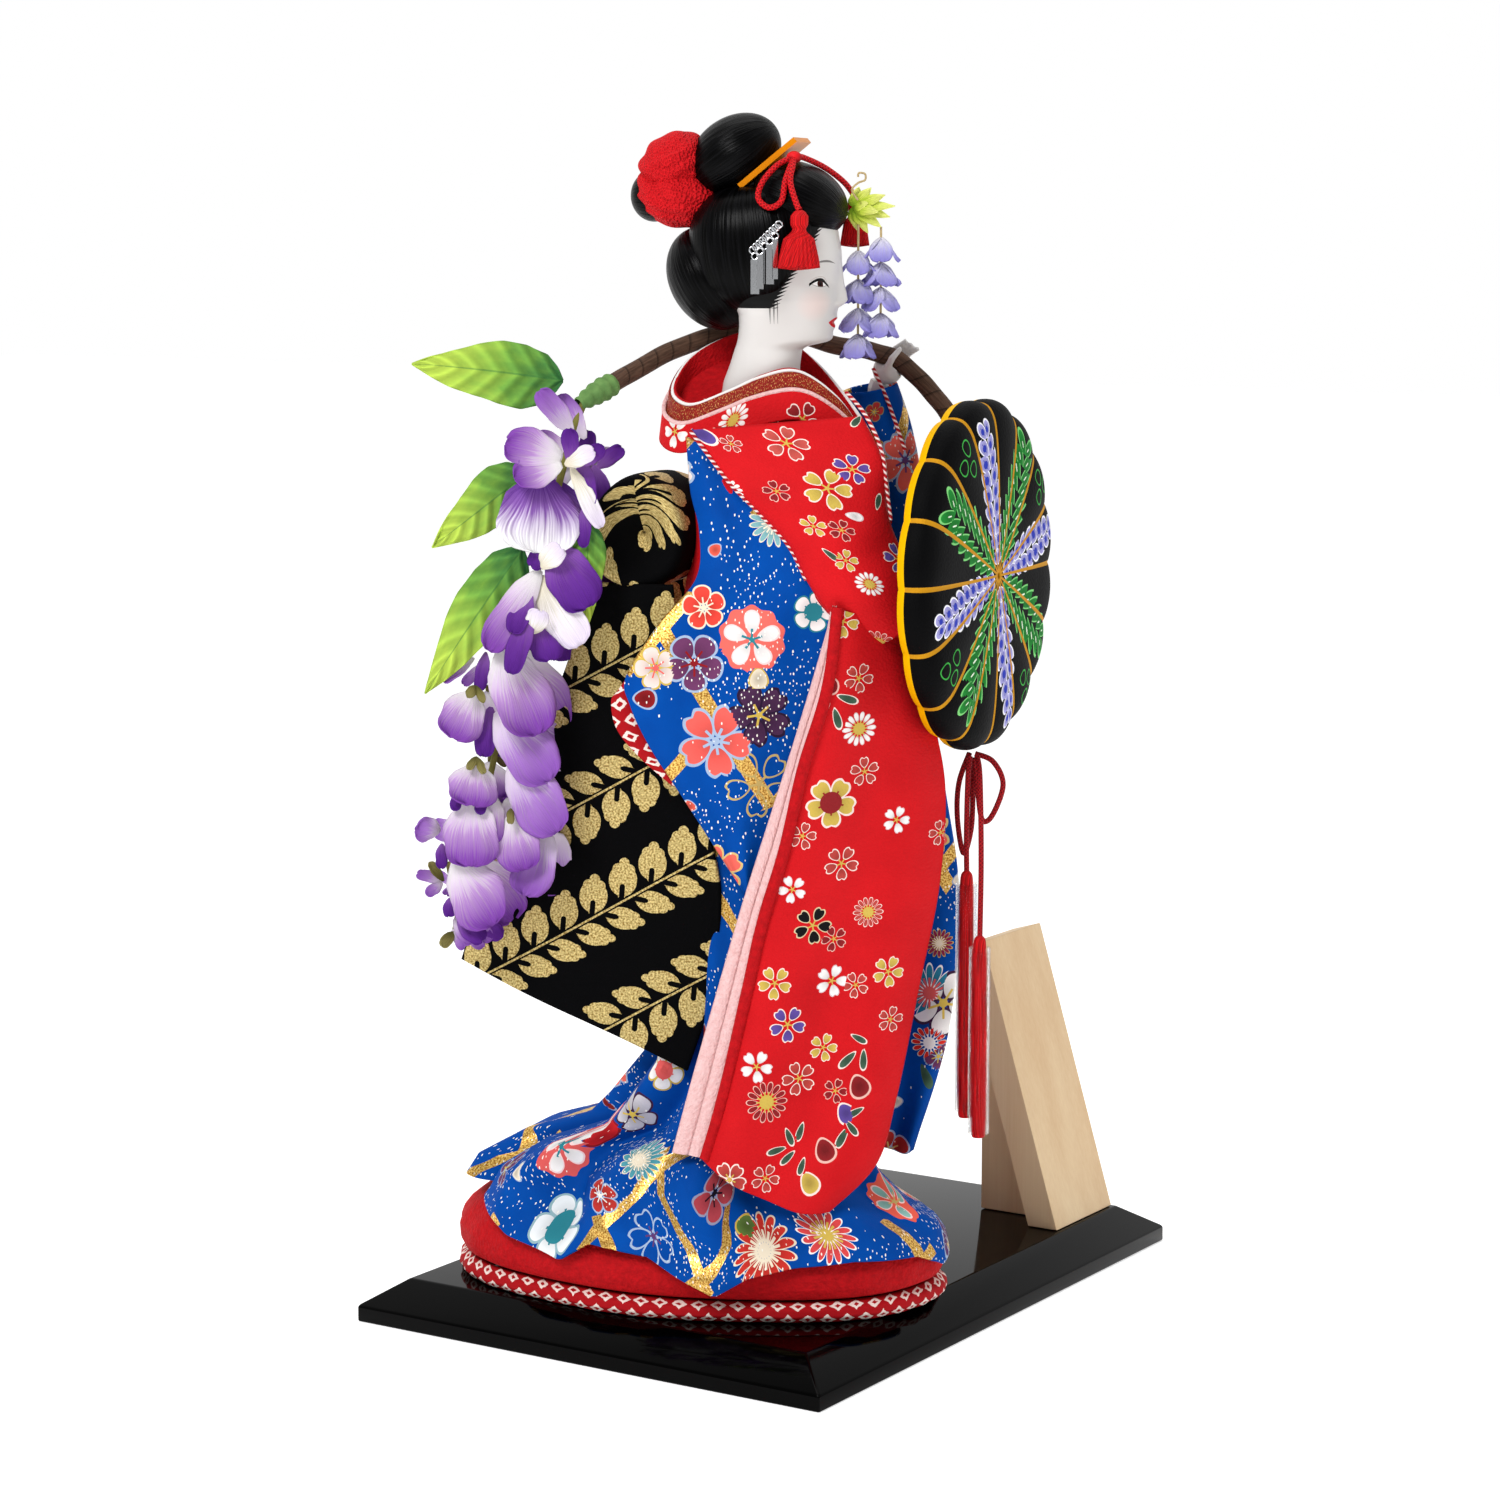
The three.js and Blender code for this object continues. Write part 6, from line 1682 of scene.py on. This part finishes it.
# %% Petals
PETAL_OUTLINE = [(0, 0.16), (0.08, 0.4), (0.25, 0.76), (0.45, 0.96), (0.62, 1), (0.78, 0.95), (0.9, 0.8),
                 (0.96, 0.6), (1, 0.22)]
PETALS_SEEN = [
    (573, 433, 539, 388, 4.4, -40, "light"), (562, 458, 506, 439, 7.5, -44, "throat"),
    (562, 465, 514, 475, 6.7, -45, "throat"), (573, 467, 569, 426, 3.4, -46, "deep"),
    (565, 465, 594, 448, 3.6, -47, "cream"), (584, 465, 603, 443, 3.2, -45, "deep"),
    (540, 475, 538, 550, 16.5, -41, "banner"), (571, 467, 601, 525, 3.4, -43, "cream"),
    (582, 460, 588, 505, 4.4, -40, "deep"), (584, 507, 584, 545, 2.8, -39, "deep"),
    (552, 545, 588, 605, 9.5, -43, "deep"), (540, 568, 561, 545, 4.4, -46, "cream"),
    (548, 547, 531, 564, 3.6, -42, "deep"), (540, 570, 488, 648, 6.7, -44, "throat"),
    (538, 576, 580, 643, 7.9, -43, "cream"), (531, 593, 512, 630, 4.4, -46, "deep"),
    (533, 633, 540, 608, 4.4, -47, "cream"), (531, 610, 510, 671, 4.4, -48, "deep"),
    (540, 620, 550, 658, 6.7, -42, "deep"), (501, 646, 538, 732, 11.9, -43, "throat"),
    (497, 711, 550, 778, 10.4, -41, "light"), (475, 691, 453, 736, 8.7, -42, "throat"),
    (486, 652, 479, 688, 2.7, -38, "deep"), (491, 707, 483, 754, 4.2, -38, "deep"),
    (474, 658, 444, 680, 2.3, -36, "light"), (511, 762, 557, 830, 10.4, -42, "light"),
    (476, 764, 471, 803, 9.8, -45, "throat"), (458, 791, 455, 808, 2.3, -43, "deep"),
    (480, 797, 481, 812, 2.3, -43, "deep"), (472, 797, 470, 864, 10.8, -43, "throat"),
    (495, 797, 491, 841, 4.6, -41, "throat"), (511, 815, 523, 868, 8.9, -42, "throat"),
    (548, 830, 525, 893, 8.5, -38, "light"), (456, 858, 493, 923, 11.2, -41, "throat"),
    (440, 830, 415, 827, 5.0, -38, "light"), (442, 844, 441, 866, 2.3, -38, "deep"),
    (442, 881, 417, 871, 2.3, -36, "light"), (442, 883, 427, 893, 2.3, -36, "light"),
    (444, 881, 429, 860, 1.9, -37, "sepal"), (452, 897, 449, 914, 2.7, -36, "deep"),
    (458, 919, 483, 938, 4.2, -38, "deep"), (454, 919, 472, 940, 3.5, -37, "light"),
    (452, 930, 464, 946, 2.3, -36, "light"), (454, 932, 442, 944, 2.3, -37, "sepal"),
    (475, 686, 468, 695, 1.9, -45, "sepal"), (475, 686, 484, 700, 1.5, -45, "sepal"),
    (476, 757, 469, 767, 1.7, -47, "sepal"), (476, 757, 484, 771, 1.5, -47, "sepal"),
    (511, 809, 510, 821, 1.5, -45, "sepal"),
]
dice = random.Random(8)
petals = []
for k, (base_x, base_y, tip_x, tip_y, half, depth, silk) in enumerate(PETALS_SEEN):
    start, end = from_picture((base_x, base_y, depth + 4), (tip_x, tip_y, depth - 2))
    for back in (False, True):
        if back:
            start, end = start + (4, 2 * (-29 - start[1]), -3), end + (6, 2 * (-29 - end[1]), -3)
        face = (dice.uniform(-0.35, 0.35), 1 if back else -1, dice.uniform(-0.15, 0.45))
        petals.append(silk_blade(f"petal_{k}_{back}", SILKS[silk], 0.4, (18, 24), start, end, face, half, 1,
                                 0.1 * half + dice.uniform(-1, 1.5), PETAL_OUTLINE, 0.16 * half))
blossoms = joined(petals, "silk_blossoms")
finish_mesh(blossoms, None, "figure", "wisteria_blossoms")

# %% [markdown]
# ### Leaf pin and petal strings
# A spray of lime silk leaves with one curled tendril sits at the brow. Under it hang two strings of
# pale violet petals, four to a tier. Leaves and petals are the blades of the branch again, in small.

# %% Leaf pin and petal strings
LIME = silk_petal("lime_silk", "#8fb92e", "#cfe04c", "#eef48a")
LAVENDER = silk_petal("lavender_silk", "#e8e6f4", "#b9b4e4", "#8f88d2")
STRING = plain_crepe("beige_string", "#9c8456", "#cdb78a", 0.8, 0.5)
SPRIG_TIPS = [(895, 206), (890, 217), (881, 227), (868, 233), (885, 195), (871, 188), (859, 187),
              (857, 230), (878, 212), (868, 203)]
SPRIG_ROOT = (853, 207, 2)
sprig = []
for k, tip in enumerate(SPRIG_TIPS):
    ends = from_picture(SPRIG_ROOT, (*tip, -5 + 2.5 * (k % 4)))
    sprig.append(silk_blade(f"sprig_{k}", LIME, 0.3, (10, 24), *ends, (0.2, -1, 0.4 - 0.2 * (k % 3)), 2.6,
                            0, 0.7, LEAF_OUTLINE, 0.3))
TENDRIL = from_picture((858, 200, -3), (852, 190, -3), (858, 183, -3), (865, 180, -2), (865, 174, -2),
                       (859, 173, -2), (858, 177, -2))
curl = grid_piece("sprig_tendril", tube([(*q, 0.4) for q in along(TENDRIL, np.linspace(0, 1, 30))],
                                        across=(0, 1, 0)), 8, 60, closed=True)
paint(curl, STRING)
sprig = joined(sprig + [curl], "leaf_pin_silk")
finish_mesh(sprig, None, "leaf_hairpin", "flower_pin")
tiers = []
for x, y, top, heights in ((33.5, 9, 414, (404, 393, 382, 372)), (42, 11, 413.2, (409, 399.5, 390, 380))):
    line = [on_head((x, y, z)) for z in np.linspace(top, heights[-1] - 6, 8)]
    string = grid_piece(f"string_{x}", tube([(*q, 0.45) for q in line], across=(1, 0, 0)), 8, 40,
                        closed=True)
    paint(string, STRING)
    tiers.append(string)
    for k, z in enumerate(heights):
        for j in range(4):
            angle = math.radians(90 * j + 25 * k + 10)
            out = np.array([math.cos(angle), math.sin(angle), 0])
            face = on_head(out + (0, 0, 0.6)) - on_head((0, 0, 0))
            tip = on_head(np.array([x, y, z - 9]) + 7.2 * out)
            tiers.append(silk_blade(f"tier_{x}_{k}_{j}", LAVENDER, 0.3, (10, 14), on_head((x, y, z)), tip,
                                    face, 4.5, 0, 0.4, PETAL_OUTLINE, 0.7))
tiers = joined(tiers, "petal_strings_silk")
finish_mesh(tiers, None, "petal_strings", "flower_strings")

# %% [markdown]
# ## Hat
# The lacquered hat is a shallow cushion of sixteen puffed lobes in black crepe. Gold braid covers the
# ribs and the rim, and wisteria sprays and green leaves are painted outward from the middle. One grid
# goes from the middle over the rim, and the painting uses the same stamps as the kimono.

# %% Hat
HAT_TURN = math.radians(-25)


def on_hat(points):
    """Hat millimetres, with +X out along its axis, as figure millimetres."""
    return swung(points, HAT_TURN, (92.5, 0, 279.3))


HAT_PROFILE = [(14.84, 0.02), (15.0, 0.2), (14.84, 0.45), (14.7, 0.62), (14.2, 0.78), (13, 0.9),
               (10.5, 0.972), (7, 1.0), (3, 1.0), (0, 0.985)]


def hat_cloth(s, t):
    angle = 2 * math.pi * s
    row = along(HAT_PROFILE, t)
    puff = 2.0 * (np.abs(np.sin(8 * angle)) ** 0.7 - 0.6) * ease(row[:, 1], 0.25, 0.9)
    radius = 67.5 * row[:, 1] + puff * ease(t, 0.45, 0.8)
    x = row[:, 0] + 0.8 * puff * (1 - ease(t, 0.55, 0.9))
    return on_hat(np.stack([x, radius * np.sin(angle), radius * np.cos(angle)], -1))


def hat_chart(s, t, points):
    reach = 67.5 * (along(HAT_PROFILE, t)[:, 1] + 0.35 * ease(t, 0.62, 1))
    return reach * np.sin(2 * math.pi * s), reach * np.cos(2 * math.pi * s)


def painted_crepe():
    """Black crepe with painted sprays, gold ribs and a gold rim on a chart round the hat's middle."""
    material, add, shader = new_material("black_painted_crepe", Roughness=0.6, Specular_IOR_Level=0.05)
    uv = crepe_bump(add, shader, 0.9, 0.5)
    colour, _ = printed(add, linear("#040405"))
    part = add("SeparateXYZ", uv).outputs
    xx = add("MULTIPLY", part[0], part[0])
    radius = add("SQRT", add("MULTIPLY_ADD", part[1], part[1], xx))
    angle = add("ARCTAN2", part[1], part[0])
    angle = add("WRAP", angle, math.pi / 16, -math.pi / 16)
    off = add("ABSOLUTE", add("MULTIPLY", angle, radius))
    rib = add("LESS_THAN", off, add("MapRange", radius, 10.0, 85.0, 0.5, 1.15))
    rim = add("GREATER_THAN", radius, 86.0)
    gold = add("MAXIMUM", rib, rim)
    bright = add("Mix.RGBA", rim, linear("#c98f1c"), linear("#f0b800"))
    colour = add("Mix.RGBA", gold, colour, bright)
    feed(shader, Base_Color=colour, Metallic=add("MULTIPLY", gold, 0.35))
    return material


sprays = []
for k in range(8):
    way = math.radians(45 * k + 14)
    out = np.array([math.cos(way), math.sin(way)])
    aside = np.array([-out[1], out[0]])
    for j in range(9):
        for hand in (-1, 1):
            size = math.sin(math.pi * (0.16 + 0.084 * j))
            if k % 2:
                at = out * (11 + 5.6 * j) + aside * hand * 5.4 * size
                sprays.append((*at, 4.2 + 5.6 * size, way + hand * 0.62, "frond", "#1f8c34", "#7fd27a",
                               "#e4f4dc"))
            else:
                at = out * (8 + 6.3 * j) + aside * hand * 3.7 * size
                sprays.append((*at, 2.4 + 3.4 * size, way + hand * 0.55, "spray", "#a9a6e0", "#f6f5fb",
                               "#2f3cb0"))
for k in range(4):
    way = math.radians(90 * k + 36)
    for far, turn in ((51, -0.06), (56, 0.05), (60, -0.07)):
        sprays.append((far * math.cos(way + turn), far * math.sin(way + turn), 3.2, 0.0, "curl", None,
                       "#3fae48", "#3fae48"))
hat = grid_piece("painted_hat", hat_cloth, 320, 90, closed=True, chart=hat_chart)
stamp(hat, sprays)
modify(hat, "SOLIDIFY", thickness=0.0016, offset=-1)
finish_mesh(hat, painted_crepe(), "hat", "hat_shell")

# %% [markdown]
# ## Hat cords
# Two dark red cords are knotted under the hat. Each hangs in a loop and an end, and the long tassels
# are still in the clear sleeves that they are sold in. A cord could be simulated, but its hang shows in
# the photograph, so its route is a short list of points and its length is measured along them.

# %% Hat cords
KNOT = np.array([96.5, -2, 209.06])
DARK_BRAID = braid("dark_red_braid", "#6d0a10", "#b01820", 1.5)
CORDS = {
    "hat_cord_loop_right": ([(1, -0.5, 0), (8, -1.5, -3), (12, -2, -12), (8, -2, -24), (4, -2, -26),
                             (2, -1.8, -14), (0.5, -1, -2)], "hat", "hat_cord_bow"),
    "hat_cord_loop_left": ([(-1, 1.5, 0), (-5, 2.5, -12), (-5.5, 3, -26), (-3, 3, -40), (0, 3, -30),
                            (0.5, 2.5, -14), (0.5, 1.5, -2)], "hat", None),
    "hat_cord_end_near": ([(-1.2, -4.3, -0.5), (-2, -6, -9), (-2.4, -6.2, -30), (-2.2, -6.2, -46)],
                          "tassels", "hat_cord_end_a"),
    "hat_cord_end_long": ([(1.6, -4.3, -0.5), (2.6, -8, -9), (3, -13, -40), (2.6, -15.6, -70)],
                          "tassels", "hat_cord_end_b"),
}
CLEAR = new_material("clear_sleeve", Roughness=0.08, Transmission_Weight=1.0, IOR=1.15, Alpha=0.35)[0]
for name, (line, body, node) in CORDS.items():
    points = KNOT + np.asarray(line)
    piece = cord_run(name, points, 1.1, DARK_BRAID, body, *([node] if node else []))
for name, end, long, node, sleeve in (("near", (-2.2, -6.2, -46), 93, "hat_tassel_a", "tassel_sleeve_a"),
                                      ("long", (2.6, -15.6, -70), 76, "hat_tassel_b", "tassel_sleeve_b")):
    top = KNOT + np.asarray(end)
    rows = [(top[0], top[1], top[2] + z, radius) for z, radius in
            ((1, 0.3), (-1, 2.2), (-6, 2.6), (-8, 2.2), (-12, 2.9), (1 - long, 3.0), (-long, 0.4))]
    threads = grid_piece(f"hat_tassel_{name}_threads", tube(rows, across=(1, 0, 0)), 60, 80, closed=True)
    finish_mesh(threads, RED_THREAD, "tassels", node)
    paint(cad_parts[sleeve], CLEAR)

# %% [markdown]
# ## Hands, plaque and what stays hidden
# The hands are taken from the model. A remesh in small cubes melts their fingers into one skin, which
# is then smoothed, as thick gofun is. The plaque is a plain maple board on a stay.


# %% Hands, plaque and hidden pieces
def taken(node, name):
    """A copy of a model piece, at the origin, that stands in for it."""
    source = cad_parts[node]
    mesh = source.data.copy()
    mesh.transform(source.matrix_world)
    obj = bpy.data.objects.new(name, mesh)
    bpy.context.collection.objects.link(obj)
    obj.data.materials.clear()
    return obj


for node in ("left_hand", "right_hand"):
    hand = taken(node, f"{node}_gofun")
    modify(hand, "REMESH", mode="VOXEL", voxel_size=0.0006)
    modify(hand, "SMOOTH", factor=0.5, iterations=8)
    finish_mesh(hand, GOFUN, "figure", node)


def maple():
    """Pale maple: fine straight grain and faint fleck along the board."""
    material, add, shader = new_material("pale_maple", Roughness=0.5)
    place = add("TexCoord").outputs["Object"]
    lean = (math.radians(-16.8), 0.0, 0.0)
    warp = add("TexNoise", add("Mapping", place, None, lean, (55.0, 55.0, 3.0)), 1.0, 4.0)
    fine = add("TexNoise", add("Mapping", place, None, lean, (900.0, 900.0, 25.0)), 1.0, 2.0)
    tone = add("MULTIPLY_ADD", fine, 0.35, warp)
    shade = add("MapRange", tone, 0.4, 0.95)
    colour = add("Mix.RGBA", shade, linear("#d9b68c"), linear("#e9cfa8"))
    feed(shader, Base_Color=colour)
    return material


MAPLE = maple()
for node in ("plaque_board", "plaque_stay"):
    piece = taken(node, f"{node}_maple")
    modify(piece, "WELD", merge_threshold=0.00001)
    modify(piece, "BEVEL", width=0.0005, segments=2, limit_method="ANGLE")
    finish_mesh(piece, MAPLE, "plaque", node)
    bpy.ops.object.shade_smooth_by_angle(angle=math.radians(30))
STEEL = new_material("rod_steel", Metallic=1.0, Roughness=0.35, Base_Color=linear("#b9bbbe"))[0]
STRAW = plain_crepe("straw_padding", "#c9b07a", "#e3d2a4", 40.0, 0.5)
for node in ("stand_rod", "rod_nut"):
    paint(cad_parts[node], STEEL)
for finish, *nodes in ((STRAW, "skirt_core", "head_peg", "hat_strap"),
                       (RED_CREPE, "torso_core", "right_arm"), (GOFUN, "left_arm")):
    for node in nodes:
        paint(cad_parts[node], finish)
print("carried over:", [n for n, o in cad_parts.items() if not o.hide_render])
